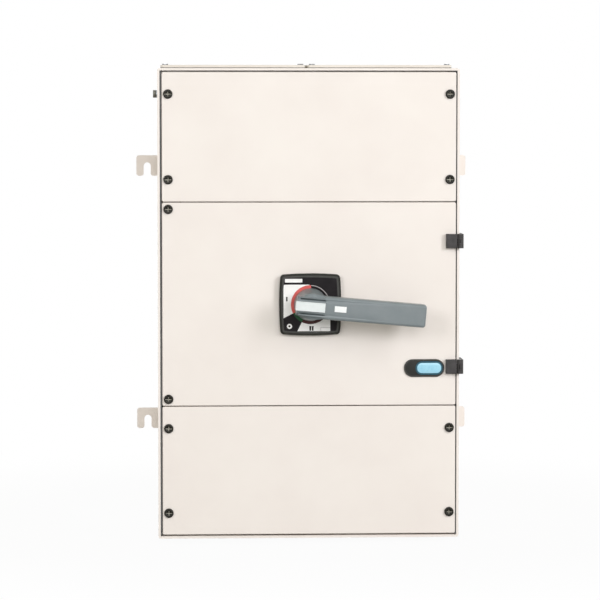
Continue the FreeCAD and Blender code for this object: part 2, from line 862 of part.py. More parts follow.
def hinge_body_screw_spots(s, at):
    """Screws through the right wall, as points of depth and height."""
    spots = []
    for side in SIDES.values():
        for step in (-1, 1):
            spots.append((s.hinge_body_screw_set_back - at.front,
                          at.hinge_z * side + s.hinge_screw_pitch / 2 * step))
    return spots


def hinge_door_screw_spots(s, at):
    """Screws through the door sheet into the door leaves."""
    spots = []
    for side in SIDES.values():
        for step in (-1, 1):
            spots.append((at.hinge_leaf_left + s.hinge_screw_inset,
                          at.hinge_z * side + s.hinge_screw_pitch / 2 * step))
    return spots


def make_hinge_body_leaf(doc, s, at, end, side):
    """Two knuckles on a plate that lies on the body's right side."""
    body = new_body(doc, f"{end}_hinge_body_leaf")
    middle = at.hinge_z * side
    low = middle - s.hinge_height / 2
    high = middle + s.hinge_height / 2
    tongue = s.hinge_tongue / 2 + s.hinge_gap / 2
    right = at.hinge_x + s.hinge_radius - s.hinge_gap
    plate_front = at.hinge_depth - s.hinge_radius - s.hinge_gap
    plate = box_outline(at.half_width, right, -plate_front, s.hinge_plate_back - at.front)
    grow(body, "Plate", "top", [plate], low, high)
    ear = box_outline(at.half_width, right, -at.hinge_depth, -plate_front)
    knuckle = [Disc(at.hinge_x, -at.hinge_depth, s.hinge_radius)]
    for name, bottom, top in (("Low", low, middle - tongue), ("High", middle + tongue, high)):
        grow(body, f"{name}Ear", "top", [ear], bottom, top)
        grow(body, f"{name}Knuckle", "top", knuckle, bottom, top)
    bore = [Disc(at.hinge_x, -at.hinge_depth, s.hinge_pin_radius)]
    cut(body, "PinBore", "top", bore, low, high)
    holes = [spot for spot in hinge_body_screw_spots(s, at) if number(spot[1]) * side > 0]
    cut(body, "ScrewHoles", "side", discs(holes, s.hinge_screw_radius),
        at.half_width, at.half_width + s.hinge_screw_reach)
    return body


def make_hinge_door_leaf(doc, s, at, end, side):
    """A block on the door with one knuckle between the body leaf's two."""
    body = new_body(doc, f"{end}_hinge_door_leaf")
    middle = at.hinge_z * side
    high = middle + s.hinge_height / 2
    low = middle - s.hinge_height / 2
    face = at.front + s.hinge_leaf_thickness
    block = box_outline(at.hinge_leaf_left, at.hinge_leaf_right, low, high)
    grow(body, "Block", "front", [block], at.front, face)
    round_edges(body, "BlockRound", s.hinge_leaf_round, lambda edge: lies_at_depth(edge, face))
    neck = box_outline(at.hinge_leaf_right - s.hinge_leaf_round * 2, at.hinge_x, -face + s.hinge_leaf_round,
                       s.hinge_radius / 2 - at.hinge_depth)
    tongue_low = middle - s.hinge_tongue / 2
    tongue_high = middle + s.hinge_tongue / 2
    grow(body, "Neck", "top", [neck], tongue_low, tongue_high)
    knuckle = [Disc(at.hinge_x, -at.hinge_depth, s.hinge_radius)]
    grow(body, "Knuckle", "top", knuckle, tongue_low, tongue_high)
    bore_radius = s.hinge_pin_radius + s.hinge_pin_play
    cut(body, "PinBore", "top", [Disc(at.hinge_x, -at.hinge_depth, bore_radius)], tongue_low, tongue_high)
    slot_left = at.hinge_x - s.hinge_slot_shift - s.hinge_slot_width / 2
    slot_low = (tongue_low + tongue_high - s.hinge_slot_height) / 2
    slot = box_outline(slot_left, slot_left + s.hinge_slot_width, slot_low, slot_low + s.hinge_slot_height)
    cut(body, "FrontSlot", "front", [slot], at.hinge_depth + bore_radius + s.hinge_slot_floor,
        at.hinge_depth + s.hinge_radius)
    holes = [spot for spot in hinge_door_screw_spots(s, at) if number(spot[1]) * side > 0]
    cut(body, "ScrewHoles", "front", discs(holes, s.hinge_screw_radius),
        at.front, at.front + s.hinge_screw_reach)
    return body


def make_hinge_pins(doc, s, at):
    """One steel pin in each hinge."""
    body = new_body(doc, "hinge_pins")
    for end, side in SIDES.items():
        middle = at.hinge_z * side
        grow(body, f"{end.title()}Pin", "top", [Disc(at.hinge_x, -at.hinge_depth, s.hinge_pin_radius)],
             middle - s.hinge_height / 2, middle + s.hinge_height / 2)
    return body


def make_hinge_screws(doc, s, at):
    """The screws of the hinge leaves: heads behind the wall, shanks into the leaf."""
    outer = new_body(doc, "hinge_body_screws")
    spots = hinge_body_screw_spots(s, at)
    grow(outer, "Heads", "side", discs(spots, s.hinge_screw_head_radius),
         at.inner_x - s.hinge_screw_head, at.inner_x)
    grow(outer, "Shanks", "side", discs(spots, s.hinge_screw_radius), at.inner_x,
         at.half_width + s.hinge_screw_reach)
    inner = new_body(doc, "hinge_door_screws")
    spots = hinge_door_screw_spots(s, at)
    back = at.front - s.sheet
    grow(inner, "Heads", "front", discs(spots, s.hinge_screw_head_radius), back - s.hinge_screw_head, back)
    grow(inner, "Shanks", "front", discs(spots, s.hinge_screw_radius), back, at.front + s.hinge_screw_reach)


# Mounting plate

def make_mounting(doc, s, at):
    """The plate that carries the switch, on four welded studs with spacers and nuts."""
    spots = four_spots(at.stud_x, at.stud_z)
    switch_screws = [(s.pivot_x + x, z) for x, z in four_spots(s.switch_screw_x, s.switch_screw_z)]
    plate = new_body(doc, "mounting_plate")
    outline = box_outline(-at.plate_x, at.plate_x, -at.plate_z, at.plate_z)
    holes = discs(spots, s.stud_radius) + discs(switch_screws, s.tab_bolt_radius)
    grow(plate, "Sheet", "front", [outline] + holes, s.plate_depth, at.plate_front)
    spacers = new_body(doc, "plate_spacers")
    rings = discs(spots, s.spacer_radius) + discs(spots, s.stud_radius)
    grow(spacers, "Spacers", "front", rings, s.sheet, s.plate_depth)
    nuts = new_body(doc, "plate_nuts")
    outlines = [hexagon_outline(x, z, s.stud_nut_across) for x, z in spots] + discs(spots, s.stud_radius)
    grow(nuts, "Nuts", "front", outlines, at.plate_front, at.plate_front + s.stud_nut)
    screws = new_body(doc, "switch_screws")
    heads = [hexagon_outline(x, z, s.tab_bolt_across) for x, z in switch_screws]
    grow(screws, "Heads", "front", heads, at.deck_back, at.deck_back + s.tab_bolt_head)
    grow(screws, "Shanks", "front", discs(switch_screws, s.tab_bolt_radius), s.plate_depth, at.deck_back)


# Switch: pole decks, fixed contacts and the end plates that clamp them

def case_outline(s, height):
    """The rounded outline that the decks and the end plates share, about the pivot."""
    half_width = s.deck_width / 2
    return round_outline(s.pivot_x - half_width, s.pivot_x + half_width, -height / 2, height / 2,
                         s.deck_corner)


def tie_spots(s):
    """The four bolts through the pack of decks."""
    return [(s.pivot_x + x, z) for x, z in four_spots(s.tie_x, s.tie_z)]


def make_end_plates(doc, s, at):
    """The plates that clamp the decks: the rear one is taller, with holes for the mounting screws."""
    rear = new_body(doc, "rear_end_plate")
    screws = [(s.pivot_x + x, z) for x, z in four_spots(s.switch_screw_x, s.switch_screw_z)]
    holes = discs(tie_spots(s), s.tie_radius) + discs(screws, s.tab_bolt_radius)
    holes.append(Disc(s.pivot_x, 0, s.journal_radius + s.journal_play))
    outline = case_outline(s, s.end_plate_height)
    grow(rear, "Plate", "front", [outline] + holes, at.plate_front, at.deck_back)
    front = new_body(doc, "front_end_plate")
    holes = discs(tie_spots(s), s.tie_radius) + [Disc(s.pivot_x, 0, s.shaft_hole_radius)]
    outline = case_outline(s, s.deck_height)
    grow(front, "Plate", "front", [outline] + holes, at.decks_front, at.housing_back)


def contact_spans(s):
    """The left and right strips of a deck, as left and right edges."""
    half = s.contact_width / 2
    spans = {}
    for side, hand in (("left", -1), ("right", 1)):
        middle = s.pivot_x + s.contact_radius * sine(s.throw_angle) * hand
        spans[side] = (middle - half, middle + half)
    return spans


def make_pole_deck(doc, s, at, index):
    """An insulating case with a round chamber and slots for the fixed contacts."""
    body = new_body(doc, f"pole_deck_{index + 1}")
    back = at.deck_back + s.deck_pitch * index
    front = back + s.deck_pitch
    half_height = s.deck_height / 2
    case = [case_outline(s, s.deck_height)] + discs(tie_spots(s), s.tie_radius)
    grow(body, "Case", "front", case, back, front)
    cut(body, "Chamber", "front", [Disc(s.pivot_x, 0, s.chamber_radius)], back + s.deck_wall, front)
    cut(body, "ShaftHole", "front", [Disc(s.pivot_x, 0, s.shaft_hole_radius)], back, back + s.deck_wall)
    middle = at.deck_middle(s, index)
    slots = [box_outline(left, right, -middle - s.contact_thickness / 2, -middle + s.contact_thickness / 2)
             for left, right in contact_spans(s).values()]
    cut(body, "ContactSlots", "top", slots, -half_height, half_height)
    return body


def make_fixed_contacts(doc, s, at, label, hands, side):
    """Strips from the chamber out to their terminal tabs, one for each deck and hand."""
    body = new_body(doc, label)
    inner = s.contact_radius * cosine(s.throw_angle) - s.contact_overlap
    outer = s.deck_height / 2 + s.tab_length
    low, high = (inner, outer) if side > 0 else (-outer, -inner)
    outlines = []
    for hand in hands:
        left, right = contact_spans(s)[hand]
        outlines.append(box_outline(left, right, low, high))
        hole_z = (outer - s.tab_bolt_inset) * side
        outlines.append(Disc((left + right) / 2, hole_z, s.tab_bolt_radius + s.tab_bolt_play))
    for index in copies(DECK_COUNT):
        middle = at.deck_middle(s, index)
        grow(body, f"Strips{index + 1}", "front", outlines,
             middle - s.contact_thickness / 2, middle + s.contact_thickness / 2)
    return body


def make_load_links(doc, s, at):
    """Bars that join the two load contacts of each pole below the decks."""
    body = new_body(doc, "load_links")
    spans = contact_spans(s)
    middle_z = -(s.deck_height / 2 + s.tab_length - s.tab_bolt_inset)
    hole_radius = s.tab_bolt_radius + s.tab_bolt_play
    bolts = [Disc((left + right) / 2, middle_z, hole_radius) for left, right in spans.values()]
    bar = box_outline(spans["left"][0], spans["right"][1], middle_z - s.link_height / 2,
                      middle_z + s.link_height / 2)
    for index in copies(DECK_COUNT):
        face = at.deck_middle(s, index) + s.contact_thickness / 2
        grow(body, f"Link{index + 1}", "front", [bar] + bolts, face, face + s.link_thickness)
    return body


def make_terminal_bolts(doc, s, at):
    """Hexagon bolts in the tabs: the upper ones bear on the tab, the lower ones on the link."""
    body = new_body(doc, "terminal_bolts")
    height = s.deck_height / 2 + s.tab_length - s.tab_bolt_inset
    for index in copies(DECK_COUNT):
        face = at.deck_middle(s, index) + s.contact_thickness / 2
        for end, side, lift in (("Upper", 1, 0), ("Lower", -1, s.link_thickness)):
            spots = [((left + right) / 2, height * side) for left, right in contact_spans(s).values()]
            heads = [hexagon_outline(x, z, s.tab_bolt_across) for x, z in spots]
            grow(body, f"{end}Heads{index + 1}", "front", heads, face + lift, face + lift + s.tab_bolt_head)
            grow(body, f"{end}Shanks{index + 1}", "front", discs(spots, s.tab_bolt_radius),
                 face - s.contact_thickness, face + lift)
    return body


def make_tie_bolts(doc, s, at):
    """The four long bolts that hold the decks together."""
    body = new_body(doc, "switch_tie_bolts")
    heads = [hexagon_outline(x, z, s.tie_across) for x, z in tie_spots(s)]
    grow(body, "Heads", "front", heads, at.housing_back, at.housing_back + s.tie_head)
    grow(body, "Shanks", "front", discs(tie_spots(s), s.tie_radius), at.plate_front, at.housing_back)
    return body


def make_mechanism_housing(doc, s, at):
    """The case of the snap mechanism, closed, with a round hole for the shaft."""
    body = new_body(doc, "mechanism_housing")
    half = s.housing_side / 2
    outline = round_outline(s.pivot_x - half, s.pivot_x + half, -half, half, s.housing_corner)
    grow(body, "Case", "front", [outline, Disc(s.pivot_x, 0, s.shaft_hole_radius)],
         at.housing_back, at.housing_front)
    return body


# Rotor: what turns inside the switch

def square_outline(side, angle):
    """A square about the pivot, turned by an angle."""
    half = side / 2
    return turned_box(0, 0, -half, half, -half, half, angle)


def make_switch_shaft(doc, s, at):
    """A square bar with a round journal at its rear end."""
    body = new_body(doc, "switch_shaft")
    grow(body, "Journal", "front", [Disc(0, 0, s.journal_radius)], at.plate_front, at.deck_back)
    grow(body, "Bar", "front", [square_outline(s.shaft_side, -s.rest_tilt)], at.deck_back, at.shaft_end)
    seat(body, s.pivot_x, 0)
    return body


def make_shaft_coupling(doc, s, at):
    """The collar that joins the switch's shaft to the extension."""
    body = new_body(doc, "shaft_coupling")
    outlines = [Disc(0, 0, s.collar_radius), square_outline(s.shaft_side, -s.rest_tilt)]
    grow(body, "Collar", "front", outlines, at.collar_back, at.collar_front)
    seat(body, s.pivot_x, 0)
    return body


def make_extension_shaft(doc, s, at):
    """The bar that reaches into the handle's socket when the door is shut."""
    body = new_body(doc, "extension_shaft")
    square = [square_outline(s.shaft_side, -s.rest_tilt)]
    grow(body, "Bar", "front", square, at.extension_back, at.extension_tip)
    round_edges(body, "Tip", s.extension_tip_chamfer,
                lambda edge: lies_at_depth(edge, at.extension_tip), "Chamfer")
    seat(body, s.pivot_x, 0)
    return body


def blade_layers(s, at, index):
    """Back and front levels of the two blades of one deck."""
    middle = at.deck_middle(s, index)
    near = s.contact_thickness / 2 + s.blade_gap
    far = near + s.blade_thickness
    return [("Rear", middle - far, middle - near), ("Front", middle + near, middle + far)]


def make_contact_blades(doc, s, at):
    """Two blades for each deck, one on either side of the fixed contacts."""
    body = new_body(doc, "contact_blades")
    angle = 90 - s.throw_angle
    half = s.blade_width / 2
    bar = turned_box(0, 0, -s.blade_reach, s.blade_reach, -half, half, angle)
    eye = [Disc(0, 0, s.blade_width)]
    hole = [Disc(0, 0, s.shaft_hole_radius)]
    for index in copies(DECK_COUNT):
        for name, low, high in blade_layers(s, at, index):
            grow(body, f"{name}Bar{index + 1}", "front", [bar], low, high)
            grow(body, f"{name}Eye{index + 1}", "front", eye, low, high)
            cut(body, f"{name}Hole{index + 1}", "front", hole, low, high)
    seat(body, s.pivot_x, 0)
    return body


def make_contact_carriers(doc, s, at):
    """Moulded carriers on the square shaft, slotted for the blades."""
    body = new_body(doc, "contact_carriers")
    angle = 90 - s.throw_angle
    half = s.blade_width / 2
    bar = turned_box(0, 0, -s.blade_reach, s.blade_reach, -half, half, angle)
    eye = [Disc(0, 0, s.blade_width)]
    bore = square_outline(s.shaft_side, -s.rest_tilt)
    for index in copies(DECK_COUNT):
        middle = at.deck_middle(s, index)
        grow(body, f"Core{index + 1}", "front", [Disc(0, 0, s.carrier_radius), bore],
             middle - s.carrier_length / 2, middle + s.carrier_length / 2)
    for index in copies(DECK_COUNT):
        for name, low, high in blade_layers(s, at, index):
            cut(body, f"{name}Slot{index + 1}", "front", [bar], low, high)
            cut(body, f"{name}EyeSlot{index + 1}", "front", eye, low, high)
    seat(body, s.pivot_x, 0)
    return body


# Escutcheon, on the door

def make_escutcheon(doc, s, at):
    """The pillow-shaped plate that the handle turns in."""
    body = new_body(doc, "escutcheon")
    near_corner = s.escutcheon_side / 2 - s.escutcheon_corner
    pillow = pillow_outline(0, 0, s.escutcheon_side, s.escutcheon_bulge_radius)
    grow(body, "Pillow", "front", [pillow], at.escutcheon_back, at.escutcheon_front)
    round_edges(body, "Corners", s.escutcheon_corner,
                lambda edge: runs_forward(edge, near_corner, near_corner))
    round_edges(body, "Bevel", s.escutcheon_bevel, lambda edge: lies_at_depth(edge, at.escutcheon_front),
                "Chamfer")
    legend = pillow_outline(0, 0, s.legend_side, s.escutcheon_bulge_radius)
    cut(body, "LegendRecess", "front", [legend],
        at.escutcheon_front - s.legend_thickness, at.escutcheon_front)
    cut(body, "Bearing", "front", [Disc(0, 0, s.drive_radius + s.drive_play)],
        at.escutcheon_back, at.escutcheon_front)
    fixings = discs(four_spots(s.escutcheon_screw, s.escutcheon_screw), s.escutcheon_screw_radius)
    cut(body, "Fixings", "front", fixings, at.escutcheon_back, at.front + s.escutcheon_screw_reach)
    seat(body, s.pivot_x, 0)
    return body


def make_legend_plate(doc, s, at):
    """The thin printed plate in the escutcheon's recess."""
    body = new_body(doc, "legend_plate")
    legend = pillow_outline(0, 0, s.legend_side - s.legend_play, s.escutcheon_bulge_radius)
    grow(body, "Plate", "front", [legend, Disc(0, 0, s.legend_hole_radius)],
         at.escutcheon_front - s.legend_thickness, at.escutcheon_front)
    seat(body, s.pivot_x, 0)
    return body


def make_escutcheon_seal(doc, s, at):
    """The rubber sheet between the escutcheon and the door."""
    body = new_body(doc, "escutcheon_gasket")
    near_corner = s.escutcheon_side / 2 - s.escutcheon_corner
    pillow = pillow_outline(0, 0, s.escutcheon_side, s.escutcheon_bulge_radius)
    holes = discs(four_spots(s.escutcheon_screw, s.escutcheon_screw), s.escutcheon_screw_radius)
    grow(body, "Seal", "front", [pillow, Disc(0, 0, s.drive_hole_radius)] + holes,
         at.front, at.escutcheon_back)
    round_edges(body, "Corners", s.escutcheon_corner,
                lambda edge: runs_forward(edge, near_corner, near_corner))
    seat(body, s.pivot_x, 0)
    return body


def make_escutcheon_screws(doc, s, at):
    """Screws from inside the door into the escutcheon."""
    body = new_body(doc, "escutcheon_screws")
    spots = four_spots(s.escutcheon_screw, s.escutcheon_screw)
    back = at.front - s.sheet
    grow(body, "Heads", "front", discs(spots, s.hinge_screw_head_radius), back - s.hinge_screw_head, back)
    grow(body, "Shanks", "front", discs(spots, s.escutcheon_screw_radius), back,
         at.front + s.escutcheon_screw_reach)
    seat(body, s.pivot_x, 0)
    return body


# Handle

def seat_handle_piece(body, s):
    """Place a handle piece on the pivot, turned down by the rest tilt."""
    seat(body, s.pivot_x, 0)
    body.Placement = FreeCAD.Placement(Vector(0, 0, 0), FreeCAD.Rotation(Vector(0, 1, 0), 1))
    seat(body, s.pivot_x, 0)
    bind(body, ".Placement.Rotation.Angle", s.rest_tilt)
    return body


def make_drive_socket(doc, s, at):
    """A round sleeve through the escutcheon, with a square bore that widens at its mouth."""
    body = new_body(doc, "drive_socket")
    mouth = at.drive_mouth
    front = at.hub_back + s.drive_grip
    grow(body, "Sleeve", "front", [Disc(0, 0, s.drive_radius)], mouth, front)
    side = s.shaft_side + s.drive_bore_clearance * 2
    cut(body, "Bore", "front", [square_outline(side, 0)], mouth, mouth + s.drive_bore_length)
    wide = draw(body, "BellMouth", "front", mouth, [square_outline(side + s.drive_bell * 2, 0)])
    narrow = draw(body, "BellThroat", "front", mouth + s.drive_bell_length, [square_outline(side, 0)])
    bell = body.newObject("PartDesign::SubtractiveLoft", "Bell")
    bell.Profile = wide
    bell.Sections = [narrow]
    bell.Ruled = True
    return seat_handle_piece(body, s)


def make_retaining_ring(doc, s, at):
    """The ring behind the door that keeps the handle from being pulled out."""
    body = new_body(doc, "retaining_ring")
    front = at.front - s.sheet - s.ring_gap
    grow(body, "Ring", "front", [Disc(0, 0, s.ring_radius), Disc(0, 0, s.drive_radius)],
         front - s.ring_thickness, front)
    return seat_handle_piece(body, s)


def make_lever_handle(doc, s, at):
    """The moulded lever: a tapered hub, a wide arm with a ribbed hollow back, and the padlock slot."""
    body = new_body(doc, "lever_handle")
    dome_front = at.hub_front - s.hub_dome_drop
    foot = draw(body, "HubFoot", "front", at.hub_back, [Disc(0, 0, s.hub_foot_radius)])
    top = draw(body, "HubTop", "front", dome_front, [Disc(0, 0, s.hub_top_radius)])
    hub = body.newObject("PartDesign::AdditiveLoft", "Hub")
    hub.Profile = foot
    hub.Sections = [top]
    hub.Ruled = True
    round_edges(body, "HubRound", s.hub_round, lambda edge: lies_at_depth(edge, dome_front))
    half = s.arm_width / 2
    arm = round_outline(s.arm_root - s.arm_corner, s.arm_reach, -half, half, s.arm_corner)
    grow(body, "Arm", "front", [arm], at.arm_back, at.hub_front)
    round_edges(body, "ArmEdges", s.arm_edge, lambda edge: lies_at_depth(edge, at.hub_front))
    spine = box_outline(-s.spine_reach, s.arm_root, -s.spine_width / 2, s.spine_width / 2)
    grow(body, "Spine", "front", [spine], at.arm_back, at.hub_front)
    blend = [(0, -s.hub_top_radius), (s.arm_root, -half), (s.arm_root, half), (0, s.hub_top_radius)]
    grow(body, "Shoulder", "front", [blend], at.arm_back, dome_front)
    hollow_left = s.hub_foot_radius + s.arm_wall
    hollow = round_outline(hollow_left, s.arm_reach - s.arm_wall, s.arm_wall - half, half - s.arm_wall,
                           s.arm_corner - s.arm_wall)
    cut(body, "HollowBack", "front", [hollow], at.arm_back, at.hub_front - s.arm_web)
    pitch = (s.arm_reach - s.arm_wall - hollow_left) / (s.arm_rib_count + 1)
    ribs = []
    for index in copies(DIMENSIONS["arm_rib_count"]):
        middle = hollow_left + pitch * (index + 1)
        ribs.append(box_outline(middle - s.arm_rib / 2, middle + s.arm_rib / 2,
                                s.arm_wall - half, half - s.arm_wall))
    grow(body, "Ribs", "front", ribs, at.arm_back + s.arm_rib, at.hub_front - s.arm_web)
    slot = box_outline(-s.hub_foot_radius - s.padlock_slot_lead, s.padlock_slot_end,
                       -s.padlock_slot / 2, s.padlock_slot / 2)
    cut(body, "PadlockSlot", "front", [slot], at.hub_front - s.padlock_depth, at.hub_front)
    slits = []
    for up in (-1, 1):
        middle = s.slit_offset * up
        slits.append(box_outline(s.padlock_slot_end - s.slit_length, s.padlock_slot_end,
                                 middle - s.slit_width / 2, middle + s.slit_width / 2))
    cut(body, "Slits", "front", slits, at.hub_front - s.slit_depth, at.hub_front)
    cut(body, "SocketSeat", "front", [Disc(0, 0, s.drive_radius)], at.hub_back, at.hub_back + s.drive_grip)
    return seat_handle_piece(body, s)


def make_padlock_slide(doc, s, at):
    """The tab that is pulled out of the hub to take a padlock."""
    body = new_body(doc, "padlock_slide")
    back = at.hub_front - s.padlock_depth
    half = s.padlock_width / 2
    play = (s.padlock_slot - s.padlock_width) / 2
    tab = box_outline(-s.padlock_reach, s.padlock_slot_end - play, -half, half)
    grow(body, "Tab", "front", [tab], back, at.hub_front)
    eye = [Disc(-s.padlock_eye_x, back + s.padlock_eye_depth, s.padlock_eye_radius)]
    flipped = [Disc(disc.x, -disc.z, disc.radius) for disc in eye]
    cut(body, "PadlockEye", "top", flipped, -half, half)
    return seat_handle_piece(body, s)


def make_lever_label(doc, s, at):
    """The small label on the arm, near the hub."""
    body = new_body(doc, "lever_label")
    half = s.label_height / 2
    label = box_outline(s.label_x - s.label_width / 2, s.label_x + s.label_width / 2, -half, half)
    grow(body, "Label", "front", [label], at.hub_front, at.hub_front + s.label_thickness)
    return seat_handle_piece(body, s)


# Badge

def make_badge(doc, s, at):
    """A round-ended plate with a coloured inset, both left bare."""
    half_width = s.badge_width / 2
    half_height = s.badge_height / 2
    plate = new_body(doc, "door_badge")
    round_end = half_height - s.badge_edge
    outline = round_outline(at.badge_x - half_width, at.badge_x + half_width,
                            at.badge_z - half_height, at.badge_z + half_height, round_end)
    face = at.front + s.badge_thickness
    grow(plate, "Plate", "front", [outline], at.front, face)
    inset = new_body(doc, "badge_inset")
    half_width = s.inset_width / 2
    half_height = s.inset_height / 2
    middle = at.badge_x + s.inset_shift
    outline = round_outline(middle - half_width, middle + half_width,
                            at.badge_z - half_height, at.badge_z + half_height, half_height - s.badge_edge)
    grow(inset, "Inset", "front", [outline], face, face + s.inset_thickness)


def make_all(doc, s, at):
    """Every piece of the switch, each in its own body."""
    make_enclosure_body(doc, s, at)
    for end, side in SIDES.items():
        make_cross_rail(doc, s, at, {"top": "upper", "bottom": "lower"}[end], side)
        low, high = (at.cover_low, at.cover_high) if side > 0 else (-at.cover_high, -at.cover_low)
        screws = at.cover_screw_spots(s, side)
        make_tray(doc, s, at, f"{end}_cover", low, high, screws)
        make_gasket(doc, s, at, f"{end}_cover_gasket", low, high, screws)
        for hand in ("left", "right"):
            label = f"{end}_gland_plate_{hand}"
            levels = gland_levels(at, end, s.gland_gasket, s.gland_gasket + s.gland_plate)
            make_gland_plate(doc, s, at, hand, label, *levels)
        hinge = {"top": "upper", "bottom": "lower"}[end]
        make_hinge_body_leaf(doc, s, at, hinge, side)
        make_hinge_door_leaf(doc, s, at, hinge, side)
    make_gland_gaskets(doc, s, at)
    make_gland_screws(doc, s, at)
    make_panel_screws(doc, s, at, "cover_screws", all_cover_screw_spots(s, at))
    make_rivet_nuts(doc, s, at)
    make_door(doc, s, at)
    half = s.door_height / 2
    make_gasket(doc, s, at, "door_gasket", -half, half, at.door_screw_spots())
    make_panel_screws(doc, s, at, "door_screws", at.door_screw_spots())
    make_hinge_pins(doc, s, at)
    make_hinge_screws(doc, s, at)
    make_earth_parts(doc, s, at)
    make_mounting(doc, s, at)
    make_end_plates(doc, s, at)
    for index in copies(DECK_COUNT):
        make_pole_deck(doc, s, at, index)
    make_fixed_contacts(doc, s, at, "supply_one_contacts", ("right",), 1)
    make_fixed_contacts(doc, s, at, "supply_two_contacts", ("left",), 1)
    make_fixed_contacts(doc, s, at, "load_contacts", ("left", "right"), -1)
    make_load_links(doc, s, at)
    make_terminal_bolts(doc, s, at)
    make_tie_bolts(doc, s, at)
    make_mechanism_housing(doc, s, at)
    make_switch_shaft(doc, s, at)
    make_shaft_coupling(doc, s, at)
    make_extension_shaft(doc, s, at)
    make_contact_blades(doc, s, at)
    make_contact_carriers(doc, s, at)
    make_escutcheon(doc, s, at)
    make_legend_plate(doc, s, at)
    make_escutcheon_seal(doc, s, at)
    make_escutcheon_screws(doc, s, at)
    make_drive_socket(doc, s, at)
    make_retaining_ring(doc, s, at)
    make_lever_handle(doc, s, at)
    make_padlock_slide(doc, s, at)
    make_lever_label(doc, s, at)
    make_badge(doc, s, at)


def check_document(doc):
    """Stop with a message if any object failed, or if a cut took nothing away."""
    faults = [f"{owner_of(thing)} {thing.Name}: {thing.State}" for thing in doc.Objects
              if "Invalid" in thing.State or "Error" in thing.State]
    for body in bodies_of(doc):
        if body.Shape.isNull() or not body.Shape.isValid():
            faults.append(f"{body.Label}: no valid shape")
    if faults:
        raise RuntimeError("; ".join(faults))
    for thing in doc.Objects:
        if thing.TypeId != "PartDesign::Pocket":
            continue
        if thing.Shape.Volume >= thing.BaseFeature.Shape.Volume - NEAR:
            faults.append(f"{owner_of(thing)} {thing.Name}: it cuts nothing")
    if faults:
        raise RuntimeError("; ".join(faults))


def owner_of(thing):
    """The label of the body that holds a feature."""
    body = thing.getParentGeoFeatureGroup()
    return body.Label if body else ""


def bodies_of(doc):
    """Every body of the document."""
    return [thing for thing in doc.Objects if thing.TypeId == "PartDesign::Body"]


def main():
    """Build the switch and write one file for each piece."""
    doc = FreeCAD.newDocument("ChangeoverSwitch")
    sizes = Sizes(doc)
    make_all(doc, sizes, Layout(sizes))
    doc.recompute()
    check_document(doc)
    os.makedirs("parts", exist_ok=True)
    for body in bodies_of(doc):
        body.Shape.exportStep(f"parts/{body.Label}.step")


main()
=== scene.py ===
"""Looks of a wall-mounted manual changeover switch, built round its CAD frame, with studio and camera."""
import json
import logging
import math
from collections.abc import Mapping
from dataclasses import dataclass, field
from enum import Enum

import bmesh
import bpy
import numpy as np
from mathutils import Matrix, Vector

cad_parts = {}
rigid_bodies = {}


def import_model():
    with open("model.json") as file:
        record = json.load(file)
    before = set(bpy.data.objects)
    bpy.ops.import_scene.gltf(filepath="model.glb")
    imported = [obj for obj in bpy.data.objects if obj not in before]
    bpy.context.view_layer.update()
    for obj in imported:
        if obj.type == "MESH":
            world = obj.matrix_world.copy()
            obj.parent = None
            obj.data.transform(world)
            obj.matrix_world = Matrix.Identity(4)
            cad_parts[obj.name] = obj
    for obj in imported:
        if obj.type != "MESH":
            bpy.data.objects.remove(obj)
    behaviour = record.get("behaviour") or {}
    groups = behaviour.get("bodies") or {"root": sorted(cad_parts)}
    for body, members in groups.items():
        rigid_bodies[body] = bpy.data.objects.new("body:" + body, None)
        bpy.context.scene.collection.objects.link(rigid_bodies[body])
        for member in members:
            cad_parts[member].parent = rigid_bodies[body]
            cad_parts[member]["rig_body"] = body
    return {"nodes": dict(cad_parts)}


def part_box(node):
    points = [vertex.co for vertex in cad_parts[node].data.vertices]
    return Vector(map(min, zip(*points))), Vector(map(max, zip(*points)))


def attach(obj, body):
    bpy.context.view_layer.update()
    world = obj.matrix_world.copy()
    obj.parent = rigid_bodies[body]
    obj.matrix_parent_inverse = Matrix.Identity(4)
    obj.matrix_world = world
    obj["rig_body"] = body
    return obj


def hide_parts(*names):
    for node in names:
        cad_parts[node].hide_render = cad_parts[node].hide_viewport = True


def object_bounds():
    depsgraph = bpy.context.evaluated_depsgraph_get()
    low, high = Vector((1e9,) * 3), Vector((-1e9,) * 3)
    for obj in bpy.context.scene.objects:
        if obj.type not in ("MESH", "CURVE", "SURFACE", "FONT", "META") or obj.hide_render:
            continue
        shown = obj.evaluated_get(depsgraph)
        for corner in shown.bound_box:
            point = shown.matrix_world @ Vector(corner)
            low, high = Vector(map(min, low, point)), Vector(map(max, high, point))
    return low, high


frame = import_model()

CAD_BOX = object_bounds()
MM = 0.001
WELD_MM = 0.002
ROUND_CREASE = 50.0
# A noise seldom leaves the middle of its range, so its patterns are stretched from this span.
NOISE_SPAN = {"From Min": 0.3, "From Max": 0.7}
Spot = tuple[float, float, float]
LOG = logging.getLogger("changeover_switch")


# Colour and node tools

def linear(colour: str) -> tuple[float, float, float, float]:
    """Turns an sRGB hex colour into linear light by the standard curve, which is straight near black.

    Args:
        colour: six hex digits with a leading hash sign.

    Returns:
        Red, green, blue and an alpha of one.
    """
    coded = np.array([int(colour[i:i + 2], 16) for i in (1, 3, 5)]) / 255
    light = np.where(coded <= 0.04045, coded / 12.92, ((coded + 0.055) / 1.055) ** 2.4)
    return (*(float(part) for part in light), 1.0)


def per_mm(size: float) -> float:
    """The pattern scale whose features are size millimetres across on Object coordinates."""
    return 1 / (size * MM)


